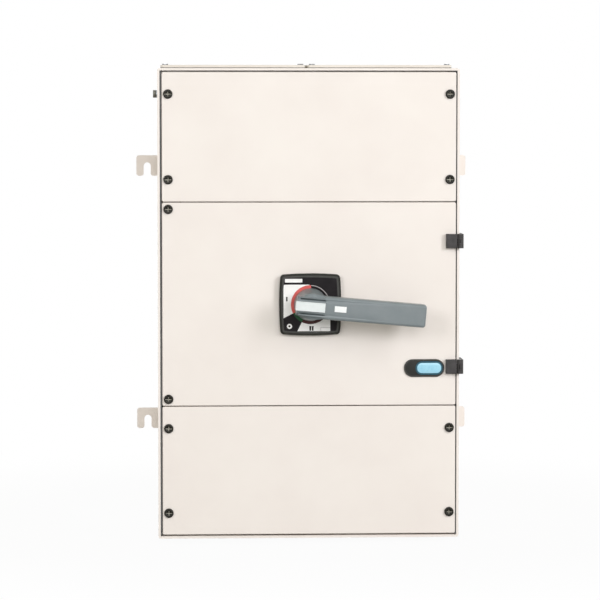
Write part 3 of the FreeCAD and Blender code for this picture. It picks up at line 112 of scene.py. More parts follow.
def add_node(tree: bpy.types.NodeTree, kind: str, inputs: Mapping[str | int, object] | None = None,
             **settings: object) -> bpy.types.Node:
    """Adds a node, sets it and links it.

    Args:
        tree: the node tree that takes it.
        kind: Blender's name of the node type.
        inputs: input name or number, and either a plain value or the output socket to link.
        settings: attributes of the node.

    Returns:
        The new node.
    """
    node = tree.nodes.new(kind)
    for name, value in settings.items():
        setattr(node, name, value)
    for name, value in (inputs or {}).items():
        if isinstance(value, bpy.types.NodeSocket):
            tree.links.new(value, node.inputs[name])
        else:
            node.inputs[name].default_value = value
    return node


# Finishes

@dataclass(frozen=True)
class Finish:
    """A surface finish: one real material and how its surface was made.

    The colour drifts to the shade over patches of patch_mm, the gloss over smears of a share of them, and the
    relief has a grain of grain_mm and a height of relief_mm.
    """

    name: str
    slot: str
    colour: str
    shade: str
    patch_mm: float
    grain_mm: float
    relief_mm: float
    roughness: float
    roughness_spread: float = 0.06
    metallic: float = 0.0
    ior: float = 1.5
    specular: float = 0.5
    coat: float = 0.0
    coat_roughness: float = 0.12
    smear_share: float = 1 / 3

    def material(self) -> bpy.types.Material:
        """Makes the material once and gives it back after that.

        Returns:
            A material whose colour drifts between colour and shade over patches of patch_mm, and whose
            relief and gloss follow a grain of grain_mm, all on Object coordinates.
        """
        known = bpy.data.materials.get(self.name)
        if known is not None:
            return known
        made = bpy.data.materials.new(self.name)
        made.use_nodes = True
        tree = made.node_tree
        tree.nodes.clear()
        place = add_node(tree, "ShaderNodeTexCoord").outputs["Object"]
        shader = add_node(tree, "ShaderNodeBsdfPrincipled", {
            "Metallic": self.metallic, "IOR": self.ior, "Specular IOR Level": self.specular,
            "Coat Weight": self.coat, "Coat Roughness": self.coat_roughness,
            "Base Color": self.tint(tree, place), "Roughness": self.gloss(tree, place),
            "Normal": self.relief(tree, place)})
        add_node(tree, "ShaderNodeOutputMaterial", {"Surface": shader.outputs["BSDF"]})
        made.diffuse_color = linear(self.colour)
        return made

    def tint(self, tree: bpy.types.NodeTree, place: bpy.types.NodeSocket) -> bpy.types.NodeSocket:
        """Colour that drifts over the surface.

        Args:
            tree: the material's tree.
            place: Object coordinates.

        Returns:
            The colour socket.
        """
        drift = add_node(tree, "ShaderNodeTexNoise",
                         {"Vector": place, "Scale": per_mm(self.patch_mm), "Detail": 3.0, "Roughness": 0.55})
        spread = add_node(tree, "ShaderNodeMapRange", {"Value": drift.outputs["Fac"], **NOISE_SPAN})
        mix = add_node(tree, "ShaderNodeMix", {
            "Factor": spread.outputs["Result"], 6: linear(self.colour), 7: linear(self.shade)},
            data_type="RGBA")
        return mix.outputs[2]

    def gloss(self, tree: bpy.types.NodeTree, place: bpy.types.NodeSocket) -> bpy.types.NodeSocket:
        """Roughness that varies a little, as handling and the process leave it.

        Args:
            tree: the material's tree.
            place: Object coordinates.

        Returns:
            The roughness socket.
        """
        smear = add_node(tree, "ShaderNodeTexNoise",
                         {"Vector": place, "Scale": per_mm(self.patch_mm * self.smear_share), "Detail": 4.0})
        spread = add_node(tree, "ShaderNodeMapRange", {
            "Value": smear.outputs["Fac"], **NOISE_SPAN, "To Min": self.roughness - self.roughness_spread,
            "To Max": self.roughness + self.roughness_spread})
        return spread.outputs["Result"]

    def relief(self, tree: bpy.types.NodeTree, place: bpy.types.NodeSocket) -> bpy.types.NodeSocket:
        """Fine relief of the surface.

        Args:
            tree: the material's tree.
            place: Object coordinates.

        Returns:
            The bent normal.
        """
        grain = add_node(tree, "ShaderNodeTexNoise",
                         {"Vector": place, "Scale": per_mm(self.grain_mm), "Detail": 2.0, "Roughness": 0.5})
        bump = add_node(tree, "ShaderNodeBump", {"Height": grain.outputs["Fac"], "Strength": 1.0,
                                                 "Distance": self.relief_mm * MM})
        return bump.outputs["Normal"]


# Polyester powder coat, sprayed and baked: a quiet satin that doesn't glare along the surface, with a soft
# orange peel about 2 mm across and a slow drift in tone where the film is thicker.
CREAM_POWDER_COAT = Finish("cream_powder_coat", "cream_paint", "#F6EFE9", "#F2EAE4", 90, 2.2, 0.006, 0.62, 0.03,
                           specular=0.12)
# The same coat on the blank plates of the top and bottom: greyer and duller than the panels.
GREYER_POWDER_COAT = Finish("greyer_powder_coat", "cream_paint", "#E6E0D8", "#E0D9D1", 60, 2.2, 0.006, 0.58, 0.02,
                           specular=0.2)
# Blackened steel: an oil-black skin with a low sheen, darker in spots where more oil has dried.
BLACKENED_STEEL = Finish("blackened_steel", "black_steel", "#2A2922", "#191813", 4, 0.5, 0.01, 0.42,
                         metallic=0.3, specular=0.3)
# Painted glint: a pale grey-brown laid on the floors of the cross recesses of the black screws, standing in for
# the light they catch.
RECESS_GLINT_PAINT = Finish("painted_recess_glint", "black_steel", "#D2CEC0", "#8F8B7E", 2.0, 0.4, 0.02, 0.5)
# Zinc plate over steel: bright, bluish and slightly cloudy.
ZINC_PLATE = Finish("zinc_plated_steel", "zinc_steel", "#B9BCBF", "#A3A7AB", 8, 0.6, 0.006, 0.32, 0.08,
                    metallic=1.0)
# Dull zinc on the outside bolt: darker than the plate inside, with grey-brown patches at random.
DULL_ZINC = Finish("dull_zinc_plate", "zinc_steel", "#8A8A80", "#4F4E46", 2.5, 0.6, 0.01, 0.42, 0.1,
                   metallic=0.7)
# Zinc alloy castings under dark grey paint: fine shot-blast grain shows through.
PAINTED_CASTING = Finish("grey_painted_casting", "hinge_grey", "#454343", "#383636", 5, 1.3, 0.05, 0.5,
                         specular=0.3)
# Glass-filled polyamide, moulded: matt dark grey, with a faint fibre cloud.
SWITCH_MOULDING = Finish("glass_filled_moulding", "moulded_case", "#2E2F31", "#27282A", 14, 0.7, 0.012, 0.55)
# Rolled copper bar: warm, lightly tarnished in clouds.
COPPER_BAR = Finish("rolled_copper", "copper", "#C98158", "#B2694A", 10, 0.4, 0.008, 0.28, 0.08, metallic=1.0)
# ABS moulded against a fine satin tool: near black, with a broad soft highlight.
BLACK_ABS = Finish("black_abs", "black_plastic", "#262722", "#1F201C", 20, 0.9, 0.004, 0.36, specular=0.25)
# The same ABS behind a fine etched tool: a dull dark grey band that scatters the light. Its grey is partly the
# etched grain's own tone and partly painted sheen for the light caught along the escutcheon's frame band and
# the badge's rim bead.
ETCHED_ABS_AND_SHEEN = Finish("etched_abs_and_painted_sheen", "black_plastic", "#484845", "#3E3D3A", 9, 0.6, 0.02, 0.55, specular=0.3)
# Polycarbonate legend plate, screen printed black from behind: deep and a little warm.
LEGEND_BLACK = Finish("printed_polycarbonate", "black_plastic", "#242022", "#1C191B", 12, 0.9, 0.002, 0.4,
                      specular=0.1)
# Acrylic-rich ABS from a fine spark-eroded tool: satin grey with a faint cool cloud.
GREY_ABS = Finish("satin_grey_abs", "grey_plastic", "#7F878A", "#778083", 18, 0.7, 0.008, 0.36)
# Pale ABS from the same kind of tool: light grey, satin.
PALE_ABS = Finish("pale_grey_abs", "pale_plastic", "#E9EEEE", "#DFE5E5", 12, 0.6, 0.005, 0.36)
# Paper label stock under clear film, bare: bright white with a faint sheen.
LABEL_STOCK = Finish("white_label_stock", "white_label", "#FBFCFC", "#F3F5F5", 7, 0.8, 0.003, 0.45)
# Screen-printed blue under clear doming resin, which gives a wet highlight.
BLUE_PRINT = Finish("pale_blue_print", "blue_inset", "#A8DFF3", "#98D4EC", 9, 0.8, 0.002, 0.3, coat=0.5)
# The line printed round it, where the blue overlaps the black: deep teal.
TEAL_PRINT = Finish("deep_teal_print", "blue_inset", "#2E5E70", "#27505F", 8, 0.8, 0.002, 0.4, specular=0.25)
# Closed-cell rubber foam: dull black with open cut cells. It also dresses the dark strips of painted shade in
# the side gaps.
FOAM_RUBBER = Finish("foam_rubber", "foam_rubber", "#1C1B1A", "#111110", 3, 0.8, 0.15, 0.9, specular=0.2)


class Ink(Enum):
    """The screen inks on the legend plate: thin, even films with a soft edge of gloss; one red is darkened as
    painted shade.
    """

    # Opaque white over black: bright, and barely warm.
    WHITE = Finish("white_screen_ink", "white_label", "#FDFCFA", "#F8F7F5", 8, 0.8, 0.002, 0.42, specular=0.25)
    # Black on white: as deep as the plate round it.
    BLACK = Finish("black_screen_ink", "black_plastic", "#1B1918", "#141211", 8, 0.8, 0.002, 0.4, specular=0.1)
    # Signal red on white, a little faded: coral.
    RED = Finish("red_screen_ink", "white_label", "#DE625B", "#CE504A", 7, 0.8, 0.002, 0.42)
    # Green straight on the black: a dark bottle green.
    GREEN = Finish("green_screen_ink", "white_label", "#2A5A3A", "#224A30", 7, 0.8, 0.002, 0.42, specular=0.2)
    # Painted shade: the red of the ring's lower sweep, darkened to a dark brown red for the handle's shadow
    # that falls on it.
    SHADED_RED = Finish("shaded_red_screen_ink", "white_label", "#4E2A27", "#3E2220", 7, 0.8, 0.002, 0.42,
                      specular=0.2)
    # A thin white that lets the black through: soft grey lines.
    GREY = Finish("grey_screen_ink", "white_label", "#B5AFAE", "#A8A3A2", 7, 0.8, 0.002, 0.42)


# Mesh tools

@dataclass(frozen=True)
class Extent:
    """The box that a CAD node fills at rest, in millimetres."""

    low: tuple[float, float, float]
    high: tuple[float, float, float]

    @classmethod
    def of(cls, node: str) -> "Extent":
        """The extent of a CAD node."""
        low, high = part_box(node)
        return cls(tuple(float(v) / MM for v in low), tuple(float(v) / MM for v in high))

    @property
    def centre(self) -> np.ndarray:
        """The middle of the box."""
        return (np.array(self.low) + np.array(self.high)) / 2

    @property
    def size(self) -> np.ndarray:
        """The box's three lengths."""
        return np.array(self.high) - np.array(self.low)

    @property
    def front(self) -> float:
        """How far forward the box reaches, as a depth from the wall."""
        return -self.low[1]


def extent(node: str) -> Extent:
    """A dataclass field whose value, the extent of a CAD node, is read from the frame for each object."""
    return field(default_factory=lambda: Extent.of(node))


def grid_mesh(name: str, points: np.ndarray, closed: bool = False, capped: bool = False,
              footed: bool = False) -> bpy.types.Mesh:
    """Makes a mesh from a grid of points, row after row.

    Args:
        name: the mesh's name.
        points: an array of rows by columns by three, in millimetres.
        closed: whether the last column joins the first.
        capped: whether the last row is filled with one flat face.
        footed: whether the first row is filled in the same way.

    Returns:
        The mesh in metres. Each quad joins a point, its neighbour in the row, and the two next to them in the
        following row, so that the faces look out when the rows run outside to inside and the columns
        anticlockwise.
    """
    rows, columns = points.shape[:2]
    index = np.arange(rows * columns).reshape(rows, columns)
    index, below = index[:-1], index[1:]
    beside, corner = np.roll(index, -1, axis=1), np.roll(below, -1, axis=1)
    if not closed:
        index, below, beside, corner = index[:, :-1], below[:, :-1], beside[:, :-1], corner[:, :-1]
    faces = np.stack([index, beside, corner, below], axis=-1).reshape(-1, 4).tolist()
    if capped:
        faces.append(((rows - 1) * columns + np.arange(columns)).tolist())
    if footed:
        faces.append(np.arange(columns)[::-1].tolist())
    mesh = bpy.data.meshes.new(name)
    mesh.from_pydata((points.reshape(-1, 3) * MM).tolist(), [], faces)
    mesh.update()
    return mesh


def soften(mesh: bpy.types.Mesh, crease: float = 32) -> None:
    """Shades a mesh smoothly but keeps edges past the crease angle, in degrees, sharp."""
    mesh.polygons.foreach_set("use_smooth", np.ones(len(mesh.polygons), bool))
    mesh.set_sharp_from_angle(angle=math.radians(crease))


def point_outwards(mesh: bpy.types.Mesh) -> None:
    """Turns the faces of a closed shell to look out.

    Args:
        mesh: the shell, changed in place.
    """
    work = bmesh.new()
    work.from_mesh(mesh)
    bmesh.ops.recalc_face_normals(work, faces=work.faces)
    work.to_mesh(mesh)
    work.free()


def face_forward(mesh: bpy.types.Mesh) -> None:
    """Flips an open sheet whose middle face looks back to the wall, so that it looks out of the object.

    Args:
        mesh: the sheet, changed in place.
    """
    middle = mesh.polygons[len(mesh.polygons) // 2]
    if middle.normal.y > 0:
        mesh.flip_normals()


@dataclass
class SubAssembly:
    """A group of pieces with their finishes: the base of every sub-assembly."""

    title: str = "sub-assembly"
    coats: dict[str, Finish] = field(default_factory=dict)
    rounded: tuple[str, ...] = ()

    def dress(self) -> None:
        """Gives each CAD node of the group its finish, and a smoothly shaded copy where it is rounded."""
        for name, finish in self.coats.items():
            node = frame["nodes"][name]
            node.data.materials.clear()
            node.data.materials.append(finish.material())
            if name in self.rounded:
                self.smooth_copy(name, finish)

    def details(self) -> int:
        """Adds the new pieces of the group.

        Returns:
            How many were added.
        """
        return 0

    def build(self) -> None:
        """Dresses the group, adds its pieces and reports it."""
        self.dress()
        added = self.details()
        LOG.info("%s: %d nodes dressed, %d pieces added", self.title, len(self.coats), added)

    def show(self, name: str, mesh: bpy.types.Mesh, finish: Finish, body: str) -> bpy.types.Object:
        """Puts a finished mesh on stage as a piece of the object.

        Args:
            name: the piece's name.
            mesh: its mesh, in place, in metres.
            finish: what it is made of.
            body: the body that it rides on.

        Returns:
            The piece.
        """
        piece = bpy.data.objects.new(name, mesh)
        bpy.context.scene.collection.objects.link(piece)
        mesh.materials.clear()
        mesh.materials.append(finish.material())
        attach(piece, body)
        return piece

    def smooth_copy(self, node: str, finish: Finish) -> bpy.types.Object:
        """A copy of a CAD node whose rounded faces shade smoothly and whose flat faces stay flat.

        Args:
            node: the CAD node that the copy stands for.
            finish: what it is made of.

        Returns:
            The copy, which rides on the node's body.
        """
        source = frame["nodes"][node]
        mesh = source.data.copy()
        work = bmesh.new()
        work.from_mesh(mesh)
        bmesh.ops.remove_doubles(work, verts=work.verts, dist=WELD_MM * MM)
        work.to_mesh(mesh)
        work.free()
        soften(mesh)
        piece = self.show(f"{node}_dressed", mesh, finish, source["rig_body"])
        steady = piece.modifiers.new("flat_faces_stay_flat", "WEIGHTED_NORMAL")
        steady.keep_sharp = True
        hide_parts(node)
        return piece


# Enclosure

@dataclass
class Enclosure(SubAssembly):
    """The painted box with its hanging lugs, two covers, door, rails and foam gaskets, and dark strips of
    painted shade in its side gaps.

    The case's extent runs out to the tips of the lugs, which stand past its sides by lug_reach.
    """

    title: str = "enclosure"
    coats: dict[str, Finish] = field(default_factory=lambda: {
        "enclosure_body": CREAM_POWDER_COAT, "upper_cross_rail": CREAM_POWDER_COAT,
        "lower_cross_rail": CREAM_POWDER_COAT, "top_cover": CREAM_POWDER_COAT,
        "bottom_cover": CREAM_POWDER_COAT, "door": CREAM_POWDER_COAT, "top_cover_gasket": FOAM_RUBBER,
        "bottom_cover_gasket": FOAM_RUBBER, "door_gasket": FOAM_RUBBER})
    rounded: tuple[str, ...] = ("top_cover", "bottom_cover", "door")
    shell: Extent = extent("enclosure_body")
    door: Extent = extent("door")
    body: str = "enclosure"
    lug_reach: float = 29.0
    rim_width: float = 3.0
    # Painted shade in the side gaps: how much of each gap the dark strip fills, and its section.
    shade_strip_share: float = 0.76
    shade_strip_back: float = 11.0
    shade_strip_front: float = 0.9
    shade_strip_crown: float = 0.5
    shade_strip_end: float = 4.0
    shade_strip_steps: int = 9

    def painted_gap_shade(self, wall: float, inward: float) -> np.ndarray:
        """Painted shade: a dark strip along one side of the opening, which stands in for the shade deep in the
        gap beside the panels.

        Its section is a flat strip with a crowned front: the width follows a cosine and the height a sine
        of the same half turn. The section is carried straight up the opening.

        Args:
            wall: where the rim's inner wall stands across the box.
            inward: the strip's width, signed towards the panels.

        Returns:
            A grid of a lower and an upper row of the section.
        """
        turn = np.linspace(0, np.pi, self.shade_strip_steps)
        front = self.door.front - self.shade_strip_front - self.shade_strip_crown
        across = np.concatenate([[wall], wall + inward * (1 - np.cos(turn)) / 2, [wall + inward]])
        back = self.door.front - self.shade_strip_back
        depth = np.concatenate([[back], front + np.sin(turn) * self.shade_strip_crown, [back]])
        reach = self.shell.size[2] / 2 - self.shade_strip_end
        return np.stack([np.stack([across, -depth, np.full_like(across, end)], axis=-1)
                         for end in (-reach, reach)])

    def details(self) -> int:
        """Adds the two dark strips of painted shade in the side gaps.

        Returns:
            How many were added.
        """
        inset = self.lug_reach + self.rim_width
        left_wall, right_wall = self.shell.low[0] + inset, self.shell.high[0] - inset
        for side, wall, gap in (("left", left_wall, self.door.low[0] - left_wall),
                                ("right", right_wall, self.door.high[0] - right_wall)):
            mesh = grid_mesh(f"{side}_gap_shade_strip", self.painted_gap_shade(wall, gap * self.shade_strip_share), closed=True,
                             capped=True, footed=True)
            point_outwards(mesh)
            soften(mesh, ROUND_CREASE)
            # The strips take the black foam finish, and they are painted shade in the gaps.
            self.show(mesh.name, mesh, FOAM_RUBBER, self.body)
        return 2


@dataclass
class PanelScrews(SubAssembly):
    """The black cross-recessed screws of the covers and door, and the blind nuts behind them."""

    title: str = "panel screws"
    coats: dict[str, Finish] = field(default_factory=lambda: {
        "cover_screws": BLACKENED_STEEL, "door_screws": BLACKENED_STEEL, "rivet_nuts": ZINC_PLATE})
    rounded: tuple[str, ...] = ("cover_screws", "door_screws")
    recess_shallow: float = 0.4
    recess_deep: float = 2.2
    facing: float = -0.9
    heads: Extent = extent("cover_screws")

    def details(self) -> int:
        """Paints pale glints on the floors of the cross recesses, standing in for the light caught there.

        Faces that look forward, and lie below the head's crown by recess_shallow to recess_deep, take the
        painted glint as a second material.

        Returns:
            Always none, because no piece is added.
        """
        for name in self.rounded:
            mesh = bpy.data.objects[f"{name}_dressed"].data
            # The second material is the painted glint of the recess floors.
            mesh.materials.append(RECESS_GLINT_PAINT.material())
            centres, normals = np.empty(len(mesh.polygons) * 3), np.empty(len(mesh.polygons) * 3)
            mesh.polygons.foreach_get("center", centres)
            mesh.polygons.foreach_get("normal", normals)
            below = self.heads.front + centres.reshape(-1, 3)[:, 1] / MM
            forward = normals.reshape(-1, 3)[:, 1] < self.facing
            floor = forward & (below > self.recess_shallow) & (below < self.recess_deep)
            mesh.polygons.foreach_set("material_index", floor.astype(np.int32))
        return 0


@dataclass
class Hinges(SubAssembly):
    """The two cast hinges on the door's right edge."""

    title: str = "hinges"
    coats: dict[str, Finish] = field(default_factory=lambda: {
        "upper_hinge_body_leaf": PAINTED_CASTING, "lower_hinge_body_leaf": PAINTED_CASTING,
        "upper_hinge_door_leaf": PAINTED_CASTING, "lower_hinge_door_leaf": PAINTED_CASTING,
        "hinge_pins": ZINC_PLATE, "hinge_body_screws": ZINC_PLATE, "hinge_door_screws": ZINC_PLATE})
    rounded: tuple[str, ...] = ("upper_hinge_body_leaf", "lower_hinge_body_leaf", "upper_hinge_door_leaf",
                                "lower_hinge_door_leaf", "hinge_pins")


@dataclass
class CableEntries(SubAssembly):
    """The blank plates over the cable windows, with their gaskets and screws."""

    title: str = "cable entries"
    coats: dict[str, Finish] = field(default_factory=lambda: {
        "top_gland_plate_left": GREYER_POWDER_COAT, "top_gland_plate_right": GREYER_POWDER_COAT,
        "bottom_gland_plate_left": GREYER_POWDER_COAT, "bottom_gland_plate_right": GREYER_POWDER_COAT,
        "gland_gaskets": FOAM_RUBBER, "gland_screws": ZINC_PLATE})
    rounded: tuple[str, ...] = ("gland_screws",)


@dataclass
class EarthTerminal(SubAssembly):
    """The earth bolt through the left side, with its nut and washers."""

    title: str = "earth terminal"
    coats: dict[str, Finish] = field(default_factory=lambda: {
        "earth_bolt": DULL_ZINC, "earth_nut_and_washers": ZINC_PLATE})
    rounded: tuple[str, ...] = ("earth_bolt", "earth_nut_and_washers")


@dataclass
class SwitchInterior(SubAssembly):
    """The four-pole switch on its plate, seen when the door stands open."""

    title: str = "switch"
    coats: dict[str, Finish] = field(default_factory=lambda: {
        "mounting_plate": ZINC_PLATE, "plate_spacers": ZINC_PLATE, "plate_nuts": ZINC_PLATE,
        "switch_screws": ZINC_PLATE, "switch_tie_bolts": ZINC_PLATE, "terminal_bolts": ZINC_PLATE,
        "rear_end_plate": SWITCH_MOULDING, "front_end_plate": SWITCH_MOULDING, "pole_deck_1": SWITCH_MOULDING,
        "pole_deck_2": SWITCH_MOULDING, "pole_deck_3": SWITCH_MOULDING, "pole_deck_4": SWITCH_MOULDING,
        "mechanism_housing": SWITCH_MOULDING, "contact_carriers": SWITCH_MOULDING,
        "supply_one_contacts": COPPER_BAR, "supply_two_contacts": COPPER_BAR, "load_contacts": COPPER_BAR,
        "load_links": COPPER_BAR, "contact_blades": COPPER_BAR, "switch_shaft": ZINC_PLATE,
        "shaft_coupling": ZINC_PLATE, "extension_shaft": ZINC_PLATE})
    rounded: tuple[str, ...] = ("plate_spacers", "switch_tie_bolts", "terminal_bolts", "shaft_coupling",
                                "contact_carriers")


# Escutcheon and its print

@dataclass
class Escutcheon(SubAssembly):
    """The pillow-shaped plate round the handle: moulding, etched frame band with painted sheen, legend plate
    and print.

    Print sizes are millimetres from the pivot, x to the right and z up. A bar or box is given by its left,
    right, low and high edges. Sweeps are first and last angles in degrees, anticlockwise from the right.
    """

    title: str = "escutcheon"
    coats: dict[str, Finish] = field(default_factory=lambda: {
        "escutcheon": BLACK_ABS, "legend_plate": LEGEND_BLACK, "escutcheon_gasket": FOAM_RUBBER,
        "escutcheon_screws": ZINC_PLATE, "drive_socket": BLACK_ABS, "retaining_ring": ZINC_PLATE})
    rounded: tuple[str, ...] = ("escutcheon", "legend_plate")
    moulding: Extent = extent("escutcheon")
    legend: Extent = extent("legend_plate")
    body: str = "hinged_door"
    bulge_radius: float = 420.0
    corner: float = 3.2
    corner_least: float = 1.2
    corner_shrink: float = 1 / 3
    side_steps: int = 33
    corner_steps: int = 9
    band_margin: float = 2.6
    band_width: float = 2.3
    band_rise: float = 0.25
    band_crease: float = 40.0
    band_profile: tuple[tuple[float, float], ...] = (
        (0.0, -0.2), (0.0, 0.6), (0.15, 1.0), (0.85, 1.0), (1.0, 0.6), (1.0, -0.2))
    film: float = 0.03
    ring_outer: float = 24.9
    ring_inner: float = 20.2
    ring_edge: float = 0.9
    sweep_one: tuple[float, float] = (93.0, 206.8)
    sweep_off: tuple[float, float] = (206.8, 244.0)
    sweep_two: tuple[float, float] = (244.0, 322.0)
    sweep_bare: tuple[float, float] = (-38.0, 88.0)
    field_left: float = 34.3
    field_top: float = 25.5
    field_low: float = 34.0
    field_right: float = 25.4
    name_strip: tuple[float, ...] = (-32.4, -10.3, 28.3, 32.9)
    mark_one: tuple[float, ...] = (-31.0, -29.2, 4.4, 9.9)
    mark_off_spot: tuple[float, float] = (-26.7, -27.7)
    mark_off_radii: tuple[float, float] = (1.4, 3.3)
    mark_two_left: tuple[float, ...] = (-1.15, 0.95, -33.4, -27.4)
    mark_two_right: tuple[float, ...] = (1.85, 3.95, -33.4, -27.4)
    mark_flare: float = 0.3
    box_top: tuple[float, ...] = (13.3, 25.4, -29.5, -29.0)
    box_side: tuple[float, ...] = (13.0, 13.5, -33.9, -29.0)
    steps: int = 48
    bar_steps: int = 9

    def outline(self, inset: float) -> np.ndarray:
        """The escutcheon's outline moved in by a distance: four shallow arcs joined by round corners.

        Each side is an arc of bulge_radius: the reach falls from its middle by t squared over twice the
        radius. The corners are quarter turns of the corner radius about the point where two sides, moved in
        by that radius, meet.

        Args:
            inset: how far inside the moulding's edge.

        Returns:
            Points about the pivot, anticlockwise from the lower right corner, as x and z.
        """
        reach = self.moulding.size[0] / 2 - inset
        corner = max(self.corner - inset * self.corner_shrink, self.corner_least)
        half = reach - reach ** 2 / (2 * self.bulge_radius) - corner
        along = np.linspace(-half, half, self.side_steps)
        side = np.stack([reach - along ** 2 / (2 * self.bulge_radius), along], axis=-1)
        start, end = side[-1], np.array([side[-1][1], side[-1][0]])
        turn = np.linspace(0, np.pi / 2, self.corner_steps)[1:-1, None]
        middle = np.array([end[0], start[1]])
        bend = middle + np.concatenate([(start[0] - middle[0]) * np.cos(turn),
                                        (end[1] - middle[1]) * np.sin(turn)], axis=1)
        quarter = np.concatenate([side, bend])
        turns = [np.array([[c, -s], [s, c]]) for c, s in ((1, 0), (0, 1), (-1, 0), (0, -1))]
        return np.concatenate([quarter @ turn_by.T for turn_by in turns])

    def frame_band(self) -> np.ndarray:
        """The dull grey band between the moulding's bevel and the legend plate, partly painted sheen.

        Returns:
            A band carried round the outline: its profile rises from just under the face at the outer edge,
            runs flat at band_rise and falls back at the inner edge.
        """
        rows = []
        for share, rise in self.band_profile:
            flat = self.outline(self.band_margin + share * self.band_width)
            depth = np.full(len(flat), -self.moulding.front - rise * self.band_rise)
            rows.append(np.stack([flat[:, 0] + self.pivot, depth, flat[:, 1]], axis=-1))
        return np.stack(rows)

    @property
    def pivot(self) -> float:
        """Where the handle's axis stands across the door."""
        return float(self.legend.centre[0])

    def on_plate(self, x: np.ndarray, z: np.ndarray, layer: int) -> np.ndarray:
        """Lays flat points on the legend plate.

        Args:
            x: distances from the pivot.
            z: heights.
            layer: how many ink films the points stand above the plate.

        Returns:
            The points in the object's frame.
        """
        return np.stack([x + self.pivot, np.full_like(x, -self.legend.front - self.film * layer), z], axis=-1)

    def sector(self, inner: np.ndarray | float, outer: np.ndarray | float, start: float, end: float,
               layer: int = 1, centre: tuple[float, float] = (0.0, 0.0)) -> np.ndarray:
        """A flat patch in polar form: angle runs along the rows, radius goes from outer to inner.

        Args:
            inner: inner radius, one number or one for each angle.
            outer: outer radius, the same.
            start: first angle in degrees, anticlockwise from the right.
            end: last angle.
            layer: how many ink films the patch stands above the plate.
            centre: the patch's centre.

        Returns:
            A grid of two rows of points.
        """
        angle = np.radians(np.linspace(start, end, self.steps))
        radius = np.stack([np.broadcast_to(outer, angle.shape), np.broadcast_to(inner, angle.shape)])
        return self.on_plate(centre[0] + radius * np.cos(angle), centre[1] + radius * np.sin(angle), layer)

    def reach(self, start: float, end: float) -> np.ndarray:
        """How far a ray from the pivot goes before it leaves the printed fields, for each angle of a patch.

        Args:
            start: first angle in degrees.
            end: last angle.

        Returns:
            The smallest of the distances to the four sides, each being its reach over the ray's share that way.
        """
        angle = np.radians(np.linspace(start, end, self.steps))
        across, up = np.cos(angle), np.sin(angle)
        tiny = 1e-6
        side = np.where(across > 0, self.field_right / np.maximum(across, tiny),
                        self.field_left / np.maximum(-across, tiny))
        height = np.where(up > 0, self.field_top / np.maximum(up, tiny),
                          self.field_low / np.maximum(-up, tiny))
        return np.minimum(side, height)

    def bar(self, left: float, right: float, low: float, high: float, layer: int = 1,
            flare: float = 0.0) -> np.ndarray:
        """A flat upright bar whose top may flare: its half width grows with the fourth power of its height.

        Args:
            left: left edge.
            right: right edge.
            low: lower edge.
            high: upper edge.
            layer: ink films above the plate.
            flare: how much wider each side is at the top.

        Returns:
            A grid of points.
        """
        across, up = np.meshgrid(np.array([-1.0, 1.0]), np.linspace(1, 0, self.bar_steps))
        x = (left + right) / 2 + across * ((right - left) / 2 + flare * up ** 4)
        return self.on_plate(x, low + (high - low) * up, layer)

    def details(self) -> int:
        """Adds the frame band and prints the plate.

        Returns:
            How many pieces were added.
        """
        band = grid_mesh("escutcheon_frame_band", self.frame_band(), closed=True)
        soften(band, self.band_crease)
        band.flip_normals()
        # The band's etched grey is partly painted sheen.
        self.show("escutcheon_frame_band", band, ETCHED_ABS_AND_SHEEN, self.body)
        inner, outer, flare = self.ring_inner, self.ring_outer, self.mark_flare
        red_sweep = (self.sweep_bare[1], self.sweep_one[1])
        patches = (
            ("print_field_one", self.sector(outer, self.reach(*self.sweep_one), *self.sweep_one), Ink.WHITE),
            ("print_field_two", self.sector(outer, self.reach(*self.sweep_two), *self.sweep_two), Ink.WHITE),
            ("print_ring_one", self.sector(inner, outer, *red_sweep), Ink.RED),
            ("print_ring_off", self.sector(inner, outer, *self.sweep_off), Ink.GREEN),
            # The lower red sweep is painted shade: darkened for the handle's shadow.
            ("print_ring_two", self.sector(inner, outer, *self.sweep_two), Ink.SHADED_RED),
            ("print_ring_edge", self.sector(outer - self.ring_edge, outer, *self.sweep_bare), Ink.GREY),
            ("print_name_strip", self.bar(*self.name_strip), Ink.WHITE),
            ("print_mark_one", self.bar(*self.mark_one, layer=2), Ink.BLACK),
            ("print_mark_off", self.sector(*self.mark_off_radii, 0, 360, centre=self.mark_off_spot), Ink.WHITE),
            ("print_mark_two_left", self.bar(*self.mark_two_left, layer=2, flare=flare), Ink.BLACK),
            ("print_mark_two_right", self.bar(*self.mark_two_right, layer=2, flare=flare), Ink.BLACK),
            ("print_box_top", self.bar(*self.box_top, layer=2), Ink.GREY),
            ("print_box_side", self.bar(*self.box_side, layer=2), Ink.GREY))
        for name, points, ink in patches:
            mesh = grid_mesh(name, points)
            face_forward(mesh)
            self.show(name, mesh, ink.value, self.body)
        return len(patches) + 1


# Handle

@dataclass
class LeverHandle(SubAssembly):
    """The grey lever with its padlock tab and bare label."""

    title: str = "handle"
    coats: dict[str, Finish] = field(default_factory=lambda: {
        "lever_handle": GREY_ABS, "padlock_slide": PALE_ABS, "lever_label": LABEL_STOCK})
    rounded: tuple[str, ...] = ("lever_handle", "padlock_slide")


# Badge

